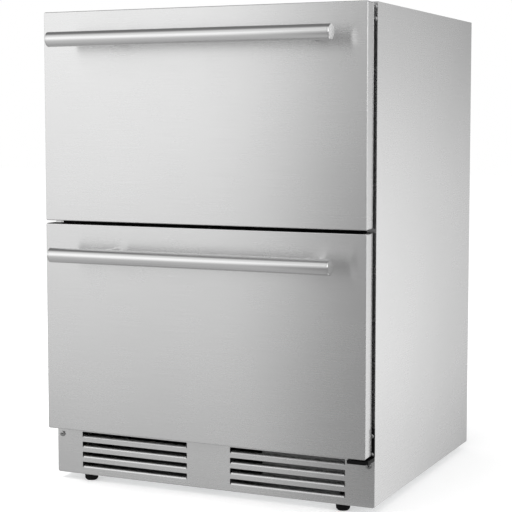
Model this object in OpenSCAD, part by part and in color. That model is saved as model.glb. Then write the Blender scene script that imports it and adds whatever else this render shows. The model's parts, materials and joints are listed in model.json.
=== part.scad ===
// Undercounter refrigerator with two full-extension drawers, in millimetres.
// The origin is on the floor, under the middle of the whole outline. X runs across the width,
// the drawer fronts face -Y and Z points up. Inside each module y = 0 is the cabinet's front plane.

/* [Cabinet] */
// Width of the cabinet across its steel wrap
cab_w = 600; // [560:5:640]
// Height from the floor to the steel top
cab_h = 825; // [810:5:870]
// Depth of the cabinet from its front plane to its back panel
cab_d = 530; // [520:5:580]
// Height of the cabinet's underside above the floor
foot_h = 13; // [12:1:20]
// Thickness of the insulated sides and top
wall = 40; // [34:1:44]
// Thickness of the insulated back
back_wall = 45; // [40:1:50]
// Thickness of the sheet steel
sheet = 1.2; // [1:0.1:1.5]

/* [Drawer fronts] */
// Reveal between a front's edge and the cabinet's side
side_reveal = 3; // [2:0.5:5]
// Reveal between the upper front's top edge and the cabinet's top
top_reveal = 1; // [0.5:0.5:3]
// Thickness of a drawer front
front_t = 28; // [25:1:35]
// Space for the gasket between a front and the cabinet
seal_gap = 9; // [8:0.5:12]
// Height of the lower front's bottom edge above the floor
lower_front_z = 98; // [98:1:104]
// Height of the lower front's top edge above the floor
split_z = 460; // [450:1:470]
// Gap between the two fronts
split_gap = 5; // [4:0.5:6]
// Outside radius of the folded edges
bend_r = 2; // [1.5:0.5:3]

/* [Handles] */
// Diameter of the handle tube
handle_d = 25.4; // [20:0.2:28]
// Length of the handle tube
handle_len = 512; // [480:2:540]
// Distance from the drawer front to the tube's axis
handle_off = 50; // [42:1:60]
// Distance from the front's top edge down to the tube's axis
handle_drop = 50; // [40:1:70]
// Diameter of a handle post
post_d = 22; // [16:1:24]
// Distance of the left post from the middle
post_left = 160; // [120:2:220]
// Distance of the right post from the middle
post_right = 208; // [120:2:220]

/* [Kick plate] */
// Number of louvres in each of the two groups
louvre_rows = 4; // [3:1:4]
// Height from one louvre to the next
louvre_pitch = 18; // [17:0.5:19]
// Height of a louvre's opening
louvre_h = 10; // [8:0.5:11]
// Length of a louvre
louvre_len = 208; // [160:2:216]
// Width of the plain middle between the two groups
louvre_gap = 82; // [60:2:90]

/* [Feet] */
// Diameter of a levelling foot
foot_d = 24; // [20:1:30]
// Distance of the feet from the cabinet's middle
foot_x = 240; // [220:1:260]
// Distance of the feet from the cabinet's front and back
foot_inset = 14; // [14:1:30]

/* [Drawers] */
// Length of the telescopic rails, and travel of the drawers
rail_len = 400; // [360:10:400]
// Depth of the upper bin
upper_bin_h = 236; // [160:2:238]
// Depth of the lower bin
lower_bin_h = 256; // [200:2:258]
// Thickness of the bins
bin_t = 2.5; // [2:0.5:3]

/* [Hidden] */
$fn = 48;
CLEAR = 0.3;            // gap between pieces that move past each other
RUN = 0.06;             // radial clearance of a running fit

// overall outline
overall_d = cab_d + seal_gap + front_t + handle_off + handle_d / 2;
cab_y = overall_d / 2 - cab_d;

// insulated box
half_w = cab_w / 2;
in_w = cab_w - 2 * wall;
in_top = cab_h - wall;
in_back = cab_d - back_wall;
liner_t = 2;
liner_r = 9;            // inside corners of the food space
deck_z = 97;            // ceiling of the low machine space behind the kick plate
in_floor = deck_z + wall;
hump_y = 375;           // front of the tall machine space at the back
hump_z = 215;           // its ceiling
flange_w = wall - liner_t - CLEAR;
rear_flange = 15;
back_y = cab_d - sheet - 1;         // rear face of the rear flanges, where the back panels seat
flange_y = back_y - sheet;

// handles
cap_t = 3;
cap_chamfer = 0.8;
tube_wall = 1.5;
spigot_len = 8;

// drawer fronts
front_w = cab_w - 2 * side_reveal;
lower_front_h = split_z - lower_front_z;
upper_front_z = split_z + split_gap;
upper_front_h = cab_h - top_reveal - upper_front_z;
return_w = 26;
inner_t = 2;
gasket_in = 10;
gasket_w = 14;
gasket_r = 18;
rim_w = 4;              // raised rim of an inner panel
rim_h = 4;
panel_r = 12;

// rails between the openings
rail_over = 3;
mullion_z0 = split_z - gasket_in - gasket_w - rail_over;
mullion_z1 = upper_front_z + gasket_in + gasket_w + rail_over;
mullion_d = 36;

// kick plate and base
kick_top = 96;
kick_fold = 8;
louvre_top = 88;
sill_d = 6;
sill_r = 3.5;           // bend of a louvre's sill
pan_t = 1.5;
pan_h = 25;
pan_side = 0.4;         // gap between the pan and the wrap
kick_screw_x = half_w - 10;
kick_screw_z = 81;
foot_stud_r = 5;
foot_stud_h = 42;

// screws
screw_r = 2;
head_soft = 0.8;        // chamfer round a head
recess_w = 0.9;         // arms of the cross recess
recess_d = 1.2;
frame_screw_x = half_w - 4.6;
lower_screws = [101, 131];
upper_screws = [cab_h - 27, cab_h - 8];
rear_screw_xs = [9 - half_w, half_w - 9];
rear_screw_zs = [foot_h + 15, hump_z - 12];

// bracket under the lower front's right corner
bracket_z = 90;
bracket_t = 6;
bracket_w = 35;
leg_t = 2;
leg_x = half_w - gasket_in - side_reveal + 0.5;
leg_top = 142;

// telescopic rails: three nested channels with balls between them
slide_t = 12.7;
slide_h = 46;
slide_y = 12;
slide_sheet = 1.5;
mid_sheet = 1.2;
ball_r = 2;
ball_gap = 0.1;
mid_h = slide_h - 2 * slide_sheet - 4 * ball_r - 4 * ball_gap;
low_h = mid_h - 2 * mid_sheet - 4 * ball_r - 4 * ball_gap;
balls = 8;
carrier_t = 2;
carrier_h = 60;
carrier_lip = 14;
upper_rail_z = mullion_z1 + 208;
lower_rail_z = in_floor + 233;
carrier_x = in_w / 2 - slide_t;

// bins hang by their brims on the carriers
brim_t = 3;
brim_over = 8;          // overhang of the brim at the front and back
bin_r = 14;             // corners of a bin
bin_draft = 5;          // lean of a bin's sides, from brim to floor
bin_w = 2 * (carrier_x - carrier_lip - 1);
bin_y = -4;
bin_back = rail_len - 8;
bin_step_z = hump_z + wall + 8;
bin_step_y = hump_y - wall - 10;

// machine space
comp_x = 140;
comp_y = 452;
comp_z = foot_h + 17;
comp_r = 62;
comp_port = 50;         // height of the tube stubs above the compressor's base
mount_x = 72;
mount_y = 45;
mount_r = 8;
drier_z = foot_h + pan_t + 24;
drier_x = -70;
cond_x0 = -215;
cond_x1 = -125;
fan_x = -100;
fan_y = 452;
fan_z = 112;
fan_r = 66;
inlet_x = -245;
inlet_z = 58;

// evaporator and its cover at the back of the food space
cover_y = in_back - 60;
cover_w = 440;
cover_z0 = 300;
cover_z1 = 770;
evap_w = 320;
evap_z = 340;
evap_h = 110;
evap_fan_z = 620;
evap_fan_r = 50;
tube_r = 4;
riser_x = 30;

STEEL = "silver";
GALV = "lightgray";
DARK = [0.12, 0.12, 0.13];
WHITE = "whitesmoke";
COPPER = [0.72, 0.45, 0.3];

// ---------- helpers ----------

// puts y = 0 on the cabinet's front plane
module cab() { translate([0, cab_y, 0]) children(); }

// a block between two corners
module block(x, y, z) {
    translate([x[0], y[0], z[0]]) cube([x[1] - x[0], y[1] - y[0], z[1] - z[0]]);
}

// a block of width w centred on x = 0
module wide_block(w, y, z) { block([-w / 2, w / 2], y, z); }

module both_sides() {
    children();
    mirror([1, 0, 0]) children();
}

// [y, z] outline drawn across the width w, centred on x = 0
module across(w) { translate([-w / 2, 0, 0]) rotate([90, 0, 90]) linear_extrude(w) children(); }

// [x, z] outline standing up from y, thickness t
module upright(y, t) { translate([0, y + t, 0]) rotate([90, 0, 0]) linear_extrude(t) children(); }

// rod from point a along axis "x", "y" or "z"
module rod(a, axis, len, r) {
    turn = axis == "x" ? [0, 90, 0] : axis == "y" ? [-90, 0, 0] : [0, 0, 0];
    translate(a) rotate(turn) cylinder(h = len, r = r);
}

// rectangle between two corners, given as [x0, x1] and [z0, z1]
module rect(x, z) { translate([x[0], z[0]]) square([x[1] - x[0], z[1] - z[0]]); }

module round_rect(w, h, r) {
    square([w - 2 * r, h], center = true);
    square([w, h - 2 * r], center = true);
    for (x = [-1, 1], y = [-1, 1]) translate([x * (w / 2 - r), y * (h / 2 - r)]) circle(r);
}

// rectangle with round corners between two corners, given as [x0, x1] and [z0, z1]
module soft_rect(x, z, r) {
    translate([x[0] + x[1], z[0] + z[1]] / 2) round_rect(x[1] - x[0], z[1] - z[0], r);
}

// flat ring of width w between a round-cornered rectangle and the same one inset, inset by g in all
module ring(x, z, w, r, g) {
    difference() {
        soft_rect([x[0] + g, x[1] - g], [z[0] + g, z[1] - g], r - g);
        soft_rect([x[0] + w - g, x[1] - w + g], [z[0] + w - g, z[1] - w + g], r - w + g);
    }
}

// unit vector from a towards b
function toward(a, b) = (b - a) / norm(b - a);

// outline with every corner rounded by r, nine points to a corner
function rounded(points, r) = [
    for (i = [0 : len(points) - 1]) each let (
        n = len(points),
        here = points[i],
        back = toward(here, points[(i + n - 1) % n]),
        on = toward(here, points[(i + 1) % n]),
        inward = toward([0, 0], back + on),
        half = acos(back * on) / 2,
        centre = here + inward * r / sin(half),
        sweep = (cross(back, on) < 0 ? 1 : -1) * (90 - half)
    ) [
        for (k = [-4 : 4]) let (a = sweep * k / 4) centre - r * [
            inward[0] * cos(a) - inward[1] * sin(a), inward[0] * sin(a) + inward[1] * cos(a)
        ]
    ]
];

// pan head screw with a cross recess, head towards -Y at the origin
module screw(head_r, head_h, shank_r, len) {
    difference() {
        union() {
            rotate([90, 0, 0]) rotate_extrude() polygon([
                [0, 0], [head_r, 0], [head_r, head_h - head_soft], [head_r - head_soft, head_h], [0, head_h]
            ]);
            rod([0, 0, 0], "y", len, shank_r);
        }
        for (a = [0, 90]) rotate([0, a, 0])
            wide_block(head_r, [-head_h - 1, recess_d - head_h], [-recess_w / 2, recess_w / 2]);
    }
}

module screw_hole() { rod([0, -6, 0], "y", 24, screw_r + 0.15); }

module at_kick_screws() { both_sides() translate([kick_screw_x, 0, kick_screw_z]) children(); }

module at_frame_screws() {
    for (z = concat(lower_screws, upper_screws)) translate([frame_screw_x, 0, z]) children();
}

module at_rear_screws() {
    for (x = rear_screw_xs, z = rear_screw_zs)
        translate([x, back_y + sheet, z]) rotate([0, 0, 180]) children();
}

// ---------- insulated cabinet ----------

module cabinet_wrap() {
    color(STEEL) cab() difference() {
        wide_block(cab_w, [0, cab_d], [foot_h, cab_h]);
        // inside, open downwards
        wide_block(cab_w - 2 * sheet, [sheet, flange_y], [foot_h - 1, cab_h - sheet]);
        // front opening within the folded flanges
        wide_block(cab_w - 2 * flange_w, [-1, 2 * sheet], [foot_h - 1, cab_h - flange_w]);
        // rear opening within the folded flanges, and the seat of the back panel
        wide_block(cab_w - 2 * rear_flange, [cab_d / 2, cab_d + 1], [foot_h - 1, cab_h - rear_flange]);
        wide_block(cab_w - 2 * sheet, [back_y, cab_d + 1], [foot_h - 1, cab_h - sheet]);
        at_kick_screws() screw_hole();
        at_frame_screws() screw_hole();
        at_rear_screws() screw_hole();
    }
}

module back_panel() {
    edge = sheet + CLEAR;
    color(GALV) cab() {
        upright(back_y, sheet) rect([edge - half_w, half_w - edge], [hump_z + 4, cab_h - edge]);
        // pressed stiffening ribs
        for (x = [-180, 0, 180])
            upright(back_y + sheet, 0.8) translate([x, (hump_z + cab_h) / 2]) round_rect(60, 420, 12);
    }
}

// the outline of the food space, or of the liner's outside when grown by g
function food_outline(g) = [
    [-2 * liner_r, in_floor - g], [hump_y - wall + g, in_floor - g],
    [hump_y - wall + g, hump_z + wall - g], [in_back + g, hump_z + wall - g],
    [in_back + g, in_top + g], [-2 * liner_r, in_top + g]
];

// the underside of the insulation over the machine space, dropped by g
function deck_outline(g, y0, y1) = [
    [y0, deck_z - g], [hump_y + g, deck_z - g], [hump_y + g, hump_z - g], [y1, hump_z - g],
    [y1, hump_z], [hump_y, hump_z], [hump_y, deck_z], [y0, deck_z]
];

// the food space, grown by g; seen from the side, from the front and from above its corners are round
module food_space(g) {
    r = liner_r + g;
    half = in_w / 2 + g;
    intersection() {
        across(2 * half) polygon(rounded(food_outline(g), r));
        upright(-liner_r, in_back + 2 * liner_r) polygon(rounded([
            [-half, in_floor - g], [half, in_floor - g], [half, in_top + g], [-half, in_top + g]
        ], r));
        linear_extrude(cab_h) polygon(rounded([
            [-half, -2 * liner_r], [half, -2 * liner_r], [half, in_back + g], [-half, in_back + g]
        ], r));
    }
}

module liner() {
    ledge_x = cover_w / 2 + CLEAR;
    color(WHITE) cab() {
        difference() {
            food_space(liner_t);
            food_space(0);
            wide_block(cab_w, [-2 * liner_r, 0], [0, cab_h]);
            riser_holes(0.6);
        }
        // ledges that locate the evaporator cover
        both_sides() block([ledge_x, ledge_x + 5], [in_back - 12, in_back], [cover_z0, cover_z1]);
    }
}

// the holes of the two refrigerant risers through the back wall
module riser_holes(gap) {
    for (x = [-riser_x, riser_x]) {
        rod([x, in_back - 12, evap_z + 20], "y", 40, tube_r + gap);
        rod([x, in_back + 22, hump_z - 5], "z", evap_z + 20 - hump_z + 5 + tube_r + gap, tube_r + gap);
    }
}

module insulation() {
    color([0.93, 0.88, 0.7]) cab() difference() {
        wide_block(cab_w - 2 * sheet, [sheet, flange_y], [deck_z, cab_h - sheet]);
        across(cab_w) polygon([[hump_y, 0], [cab_d + 1, 0], [cab_d + 1, hump_z], [hump_y, hump_z]]);
        food_space(liner_t);
        // behind the two front rails and the folded flanges
        wide_block(in_w + 2 * liner_t, [0, mullion_d + CLEAR], [0, in_floor]);
        riser_holes(0.5);
    }
}

module machine_deck() {
    color(GALV) cab() difference() {
        across(cab_w - 2 * sheet - 2 * CLEAR)
            polygon(deck_outline(sheet, mullion_d + 2 * CLEAR, flange_y));
        riser_holes(0.6);
    }
}

// box-section rail across the front between z[0] and z[1]
module front_rail(z, w) {
    difference() {
        wide_block(w, [0, mullion_d], z);
        wide_block(w + 2, [sheet, mullion_d - sheet], [z[0] + sheet, z[1] - sheet]);
    }
}

module centre_rail() { color(DARK) cab() front_rail([mullion_z0, mullion_z1], in_w - 2 * CLEAR); }

module bottom_rail() {
    color(STEEL) cab() front_rail([deck_z, in_floor - liner_t], in_w + 2 * liner_t);
}

// ---------- kick plate, base and feet ----------

// one pressed louvre: the sheet below the opening bends up and inwards as a sill
module sill_outline() {
    intersection() {
        translate([sill_r - sheet, 0]) difference() {
            circle(sill_r);
            circle(sill_r - sheet);
        }
        rect([-sheet, sill_r - sheet], [0, sill_r]);
    }
    rect([sill_r - sheet, sill_d], [sill_r - sheet, sill_r]);
    rect([-sheet, 0], [-sheet, 0]);
}

module each_louvre() {
    for (side = [-1, 1], row = [0 : louvre_rows - 1])
        translate([side * (louvre_gap + louvre_len) / 2, 0, louvre_top - row * louvre_pitch - louvre_h])
            children();
}

module kick_plate() {
    corner = 1.5;
    color(STEEL) cab() {
        difference() {
            upright(-sheet, sheet) rect([-half_w, half_w], [foot_h, kick_top]);
            each_louvre() upright(-2 * sheet, 3 * sheet)
                translate([0, louvre_h / 2]) round_rect(louvre_len, louvre_h, corner);
            at_kick_screws() screw_hole();
        }
        each_louvre() across(louvre_len - 2 * corner) sill_outline();
        // bottom edge folded back under the base
        wide_block(cab_w - 4 * sheet, [-sheet, kick_fold], [foot_h - sheet, foot_h]);
    }
}

module kick_screws() {
    color(STEEL) cab() at_kick_screws() translate([0, -sheet, 0]) screw(5, 3, screw_r, 10);
}

module base_pan() {
    w = cab_w - 2 * sheet - 2 * pan_side;
    y0 = sheet + 1;
    y1 = flange_y;
    nut_r = 9.5;
    color(GALV) cab() difference() {
        union() {
            difference() {
                wide_block(w, [y0, y1], [foot_h, foot_h + pan_h]);
                wide_block(w - 2 * pan_t, [y0 + pan_t, y1 - pan_t], [foot_h + pan_t, foot_h + pan_h + 1]);
                // low front and rear edges, so that air passes
                wide_block(w - 80, [0, cab_d + 1], [foot_h + 8, foot_h + pan_h + 1]);
            }
            at_feet() translate([0, 0, foot_h]) cylinder(h = 10, r = nut_r, $fn = 6);
        }
        at_feet() translate([0, 0, foot_h - 1]) cylinder(h = 13, r = foot_stud_r + RUN);
        at_rear_screws() screw_hole();
    }
}

module at_feet() {
    for (x = [-foot_x, foot_x], y = [foot_inset, cab_d - foot_inset - 6]) translate([x, y, 0]) children();
}

// levelling foot: rubber-faced pad on a stud that screws up into the base
module foot(x, y) {
    r = foot_d / 2;
    top = foot_h - 2.2;
    color(DARK) cab() translate([x, y, 0]) {
        rotate_extrude() polygon([
            [0, 0], [r - 2.6, 0], [r - 0.6, 2.5], [r, top - 2], [r - 1, top], [0, top]
        ]);
        cylinder(h = foot_stud_h, r = foot_stud_r);
    }
}

module front_left_foot() { foot(-foot_x, foot_inset); }
module front_right_foot() { foot(foot_x, foot_inset); }
module rear_left_foot() { foot(-foot_x, cab_d - foot_inset - 6); }
module rear_right_foot() { foot(foot_x, cab_d - foot_inset - 6); }

// ---------- bracket under the lower front's right corner ----------

module corner_bracket() {
    color(DARK) cab() difference() {
        union() {
            block([half_w - bracket_w, half_w], [1 - seal_gap - front_t, -sheet],
                  [bracket_z, bracket_z + bracket_t]);
            block([leg_x, half_w], [-sheet - leg_t, -sheet], [bracket_z, leg_top]);
            block([leg_x, half_w], [-sheet, 0], [kick_top + CLEAR, leg_top]);
        }
        at_frame_screws() screw_hole();
        // trimmed front corner
        translate([half_w, -front_t - seal_gap, bracket_z]) rotate([0, 0, 45])
            cube([8, 8, 3 * bracket_t], center = true);
    }
}

module frame_screws() {
    color(STEEL) cab() {
        for (z = lower_screws) translate([frame_screw_x, -sheet - leg_t, z])
            screw(3.8, 2.4, screw_r, leg_t + 2 * sheet);
        for (z = upper_screws) translate([frame_screw_x, 0, z]) screw(3.8, 2.4, screw_r, 1);
    }
}

// ---------- machine space ----------

module compressor() {
    shell_h = 150;
    color(DARK) cab() translate([comp_x, comp_y, comp_z]) {
        // base plate with its four mounting holes
        difference() {
            translate([-85, -60, 0]) cube([170, 120, 3]);
            at_mounts() translate([0, 0, -1]) cylinder(h = 5, r = mount_r + CLEAR);
        }
        // pressed shell with its weld flange
        translate([0, 0, 3]) rotate_extrude($fn = 96) {
            rect([0, comp_r - 25], [0, shell_h]);
            rect([0, comp_r], [0, shell_h - 25]);
            intersection() {
                translate([comp_r - 25, shell_h - 25]) circle(25);
                rect([0, comp_r], [0, shell_h]);
            }
            rect([0, comp_r + 4], [78, 83]);
        }
        // terminal cover and the two tube stubs
        translate([-comp_r - 16, -24, 60]) cube([26, 48, 46]);
        rod([0, -comp_r - 4, comp_port], "y", 10, tube_r);
        rod([-comp_r - 14, 34, comp_port], "x", 28, tube_r);
    }
}

module at_mounts() {
    for (x = [-mount_x, mount_x], y = [-mount_y, mount_y]) translate([x, y, 0]) children();
}

module compressor_grommets() {
    low = foot_h + pan_t - comp_z;
    color(DARK) cab() translate([comp_x, comp_y, comp_z]) at_mounts() {
        translate([0, 0, low]) cylinder(h = -low, r = 13);
        translate([0, 0, low]) cylinder(h = 7 - low, r = mount_r);
        translate([0, 0, 3 + CLEAR]) cylinder(h = 4, r = 12);
    }
}

// serpentine coil: rows x columns of tubes along an axis with half-round return bends
module serpentine(len, rows, cols, pitch) {
    for (i = [0 : rows - 1], j = [0 : cols - 1])
        translate([j * pitch, 0, i * pitch]) rotate([-90, 0, 0]) cylinder(h = len, r = tube_r);
    for (i = [0 : rows - 2], j = [0 : cols - 1]) {
        end = i % 2 == 0 ? len : 0;
        turn = i % 2 == 0 ? 0 : 180;
        translate([j * pitch, end, (i + 0.5) * pitch]) rotate([0, -90, 0]) rotate([0, 0, turn])
            rotate_extrude(angle = 180) translate([pitch / 2, 0]) circle(tube_r);
    }
}

module condenser() {
    fins = 17;
    gap = 6;
    z0 = foot_h + pan_t + 16;
    color("gainsboro") cab() translate([cond_x0, hump_y + 27, z0]) {
        for (i = [0 : fins - 1]) translate([0, i * gap, 0]) cube([cond_x1 - cond_x0, 0.8, 156]);
        translate([20, -6, 16]) serpentine(fins * gap + 6, 6, 3, 25);
        // feet that stand it on the base
        for (x = [4, cond_x1 - cond_x0 - 6]) translate([x, 0, -16]) cube([2, fins * gap - 5, 18]);
    }
}

module condenser_fan_shroud() {
    color(DARK) cab() {
        difference() {
            block([fan_x - 14, fan_x - 12], [hump_y + 11, hump_y + 147], [foot_h + pan_t, 200]);
            rod([fan_x - 20, fan_y, fan_z], "x", 20, fan_r + 3);
        }
        difference() {
            rod([fan_x - 14, fan_y, fan_z], "x", 26, fan_r + 4.5);
            rod([fan_x - 15, fan_y, fan_z], "x", 28, fan_r + 3);
        }
        // three struts to the motor
        for (a = [90, 210, 330]) translate([fan_x + 18, fan_y, fan_z]) rotate([a, 0, 0])
            translate([-7, 21, -3]) cube([3, fan_r - 17, 6]);
    }
}

module condenser_fan_motor() {
    color("dimgray") cab() {
        rod([fan_x + 11, fan_y, fan_z], "x", 30, 21);
        rod([fan_x - 8, fan_y, fan_z], "x", 22, 3);
    }
}

// axial fan on the z axis, front at z = 0
module axial_fan(r, n, hub_r, depth, shaft_r) {
    difference() {
        cylinder(h = depth, r = hub_r);
        translate([0, 0, -1]) cylinder(h = depth + 2, r = shaft_r + RUN);
    }
    for (i = [0 : n - 1]) rotate([0, 0, i * 360 / n]) intersection() {
        translate([0, 0, depth / 2]) rotate([35, 0, 0]) translate([hub_r - 1, -r * 0.24, -0.8])
            cube([r - hub_r + 1, r * 0.48, 1.6]);
        cylinder(h = depth, r = r);
    }
}

module condenser_fan() {
    color("darkgray") cab() translate([fan_x - 9, fan_y, fan_z]) rotate([0, 90, 0])
        axial_fan(fan_r, 5, 18, 16, 3);
}

module filter_drier() {
    color(COPPER) cab() translate([drier_x, hump_y + 25, drier_z]) rotate([0, 90, 0])
        rotate_extrude() polygon([
            [0, 0], [tube_r, 0], [tube_r, 10], [11, 24], [11, 86], [tube_r, 100], [tube_r, 110], [0, 110]
        ]);
}

// tube through a list of points, with a slightly fuller elbow at each bend
module pipe(points, r) {
    elbow = r + 0.4;
    for (i = [0 : len(points) - 2]) {
        a = points[i];
        d = points[i + 1] - a;
        long = norm(d);
        translate(a) rotate([0, acos(d[2] / long), atan2(d[1], d[0])]) cylinder(h = long, r = r);
    }
    if (len(points) > 2)
        for (i = [1 : len(points) - 2]) translate(points[i]) sphere(elbow, $fn = 24);
}

module refrigerant_tubes() {
    near = hump_y + 13;
    riser_y = in_back + 22;
    outlet_z = evap_z + 20;
    port_z = comp_z + comp_port;
    drier_end = drier_x + 110;
    color(COPPER) cab() {
        // liquid line from the filter drier up to the evaporator
        pipe([[drier_end, hump_y + 25, drier_z], [drier_end + 8, hump_y + 25, drier_z],
              [drier_end + 8, near, drier_z], [drier_end + 8, near, 190], [riser_x, near, 190],
              [riser_x, riser_y, 190], [riser_x, riser_y, outlet_z],
              [riser_x, in_back - 6, outlet_z]], tube_r);
        // suction line from the evaporator back to the compressor
        pipe([[-riser_x, in_back - 6, outlet_z], [-riser_x, riser_y, outlet_z],
              [-riser_x, riser_y, 202], [comp_x - 90, riser_y, 202], [comp_x - 90, riser_y, port_z],
              [comp_x - 90, comp_y + 34, port_z],
              [comp_x - comp_r - 14, comp_y + 34, port_z]], tube_r);
        // hot line from the compressor to the condenser, under the fan
        pipe([[comp_x, comp_y - comp_r - 4, port_z], [comp_x, hump_y + 6, port_z],
              [comp_x, hump_y + 6, foot_h + 8], [cond_x1 + 3, hump_y + 6, foot_h + 8]], tube_r);
    }
}

module drain_pan() {
    color("gray") cab() translate([-110, 180, foot_h + pan_t]) difference() {
        linear_extrude(32) round_rect(260, 200, 12);
        translate([0, 0, 2]) linear_extrude(40) round_rect(256, 196, 10);
    }
}

module control_box() {
    color("lightgray") cab() difference() {
        block([60, 220], [90, 250], [foot_h + pan_t, foot_h + pan_t + 60]);
        // vent slots in the lid
        for (i = [0 : 5]) block([90, 190], [120 + i * 16, 126 + i * 16], [foot_h + 55, foot_h + 90]);
    }
}

module rear_cover() {
    edge = sheet + CLEAR;
    color(GALV) cab() difference() {
        upright(back_y, sheet) difference() {
            rect([edge - half_w, half_w - edge], [foot_h + 6, hump_z + 3]);
            for (row = [0 : 2], i = [-13 : 18])
                translate([i * 14, 74 + row * 46]) round_rect(5, 34, 2.4);
            translate([inlet_x, inlet_z]) square([28, 22], center = true);
        }
        at_rear_screws() screw_hole();
    }
}

module rear_screws() { color(STEEL) cab() at_rear_screws() screw(4, 0.9, screw_r, 8); }

// three-pin appliance inlet set in the rear cover
module power_inlet() {
    half_x = 13.7;
    half_z = 10.7;
    color(DARK) cab() {
        difference() {
            block([inlet_x - half_x, inlet_x + half_x], [back_y - 24, back_y + sheet],
                  [inlet_z - half_z, inlet_z + half_z]);
            block([inlet_x - half_x + 2, inlet_x + half_x - 2], [back_y - 18, cab_d],
                  [inlet_z - half_z + 2, inlet_z + half_z - 2]);
        }
        // flange behind the rear cover
        upright(back_y - 3, 3 - CLEAR) difference() {
            translate([inlet_x, inlet_z]) square([40, 30], center = true);
            translate([inlet_x, inlet_z]) square([2 * half_x - 1, 2 * half_z - 1], center = true);
        }
        for (p = [[-7, -2], [0, 3], [7, -2]])
            block([inlet_x + p[0] - 1, inlet_x + p[0] + 1], [back_y - 19, back_y - 3],
                  [inlet_z + p[1] - 2, inlet_z + p[1] + 2]);
    }
}

// ---------- food space ----------

module evaporator() {
    fins = 31;
    gap = evap_w / (fins - 1);
    color("gainsboro") cab() translate([-evap_w / 2, cover_y + 14, evap_z]) {
        for (i = [0 : fins - 1]) translate([i * gap, 0, 0]) cube([0.8, 40, evap_h]);
        // tubes run across the width, behind one another
        translate([-6, 20, 15]) rotate([0, 0, -90]) mirror([1, 0, 0]) serpentine(evap_w + 12, 4, 1, 26);
    }
    // hangers to the back wall
    color("gainsboro") cab() for (x = [-evap_w / 2 - 0.8, evap_w / 2 + 0.8])
        block([x - 1, x + 1], [cover_y + 20, in_back], [evap_z + evap_h - 10, evap_z + evap_h]);
}

module evaporator_cover() {
    t = 2;
    color(WHITE) cab() difference() {
        wide_block(cover_w, [cover_y, in_back - CLEAR], [cover_z0, cover_z1]);
        wide_block(cover_w - 2 * t, [cover_y + t, in_back + 1], [cover_z0 + t, cover_z1 - t]);
        // air outlet: slots within the fan's circle
        intersection() {
            rod([0, cover_y - 1, evap_fan_z], "y", t + 2, evap_fan_r);
            for (i = [-4 : 4]) translate([0, 0, evap_fan_z + i * 11])
                wide_block(120, [cover_y - 1, cover_y + t + 1], [-3, 3]);
        }
        // return air slots low down
        for (i = [-9 : 9]) wide_slot(i * 20, 330, 60, t);
    }
}

module wide_slot(x, z, h, t) { block([x - 4, x + 4], [cover_y - 1, cover_y + t + 1], [z, z + h]); }

module evaporator_fan_motor() {
    color("dimgray") cab() {
        rod([0, in_back - 28, evap_fan_z], "y", 28 - CLEAR, 20);
        rod([0, cover_y + 10, evap_fan_z], "y", 30, 2.5);
        // bracket across the back wall
        block([-60, 60], [in_back - 3, in_back], [evap_fan_z - 8, evap_fan_z + 8]);
    }
}

module evaporator_fan() {
    color("darkgray") cab() translate([0, cover_y + 10, evap_fan_z]) rotate([-90, 0, 0])
        axial_fan(evap_fan_r - 4, 5, 14, 14, 2.5);
}

module light_bar() {
    color([0.95, 0.97, 1]) cab() wide_block(260, [70, 88], [in_top - 5, in_top]);
}

// touch panel on the ceiling, behind the upper front
module control_panel() {
    color(DARK) cab() across(200) polygon([
        [4, in_top], [4, in_top - 3], [10, in_top - 9], [30, in_top - 9], [36, in_top]
    ]);
}

// ---------- telescopic rails ----------

// C channel seen along y: web on the +X side, lips towards -X
module channel(x0, x1, h, t) {
    difference() {
        block([x0, x1], [0, rail_len], [-h / 2, h / 2]);
        block([x0 - 1, x1 - t], [-1, rail_len + 1], [t - h / 2, h / 2 - t]);
    }
}

module at_rail(z) { cab() both_sides() translate([0, slide_y, z]) children(); }

module cabinet_rails(z) {
    color("silver") at_rail(z) difference() {
        channel(in_w / 2 - slide_t + 0.5, in_w / 2, slide_h, slide_sheet);
        for (y = [30, rail_len / 2, rail_len - 30]) rod([in_w / 2 - 4, y, 0], "x", 6, 2.4);
    }
}

module middle_rails(z) {
    outer_z = mid_h / 2 + ball_gap + ball_r;
    inner_z = mid_h / 2 - mid_sheet - ball_gap - ball_r;
    ball_x = in_w / 2 - slide_t / 2;
    pitch = (rail_len / 2 - 30) / (balls - 1);
    color("gainsboro") at_rail(z) {
        channel(in_w / 2 - slide_t + 1.7, in_w / 2 - 2.8, mid_h, mid_sheet);
        for (i = [0 : balls - 1], s = [-1, 1]) {
            translate([ball_x, rail_len / 2 + 15 + i * pitch, s * outer_z]) sphere(ball_r, $fn = 24);
            translate([ball_x - 0.6, 10 + i * pitch, s * inner_z]) sphere(ball_r, $fn = 24);
        }
    }
}

// the drawer's own channel: its web is against the carrier, its lips point outwards
module drawer_rails(z) {
    x0 = in_w / 2 - slide_t;
    color("silver") at_rail(z) difference() {
        block([x0, x0 + 7.7], [0, rail_len], [-low_h / 2, low_h / 2]);
        block([x0 + mid_sheet, x0 + 9], [-1, rail_len + 1], [mid_sheet - low_h / 2, low_h / 2 - mid_sheet]);
    }
}

module upper_cabinet_rails() { cabinet_rails(upper_rail_z); }
module upper_middle_rails() { middle_rails(upper_rail_z); }
module upper_drawer_rails() { drawer_rails(upper_rail_z); }
module lower_cabinet_rails() { cabinet_rails(lower_rail_z); }
module lower_middle_rails() { middle_rails(lower_rail_z); }
module lower_drawer_rails() { drawer_rails(lower_rail_z); }

// ---------- drawers ----------

// puts y = 0 on a front's back face and z = 0 on its bottom edge
module at_front(z) { cab() translate([0, -seal_gap, z]) children(); }

// section of a folded front, w wide, its face towards -Y with both edges bent, its back on y = 0
module front_section(w) {
    rect([bend_r, w - bend_r], [-front_t, 0]);
    rect([0, w], [bend_r - front_t, 0]);
    for (x = [bend_r, w - bend_r]) translate([x, bend_r - front_t]) circle(bend_r);
}

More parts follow.
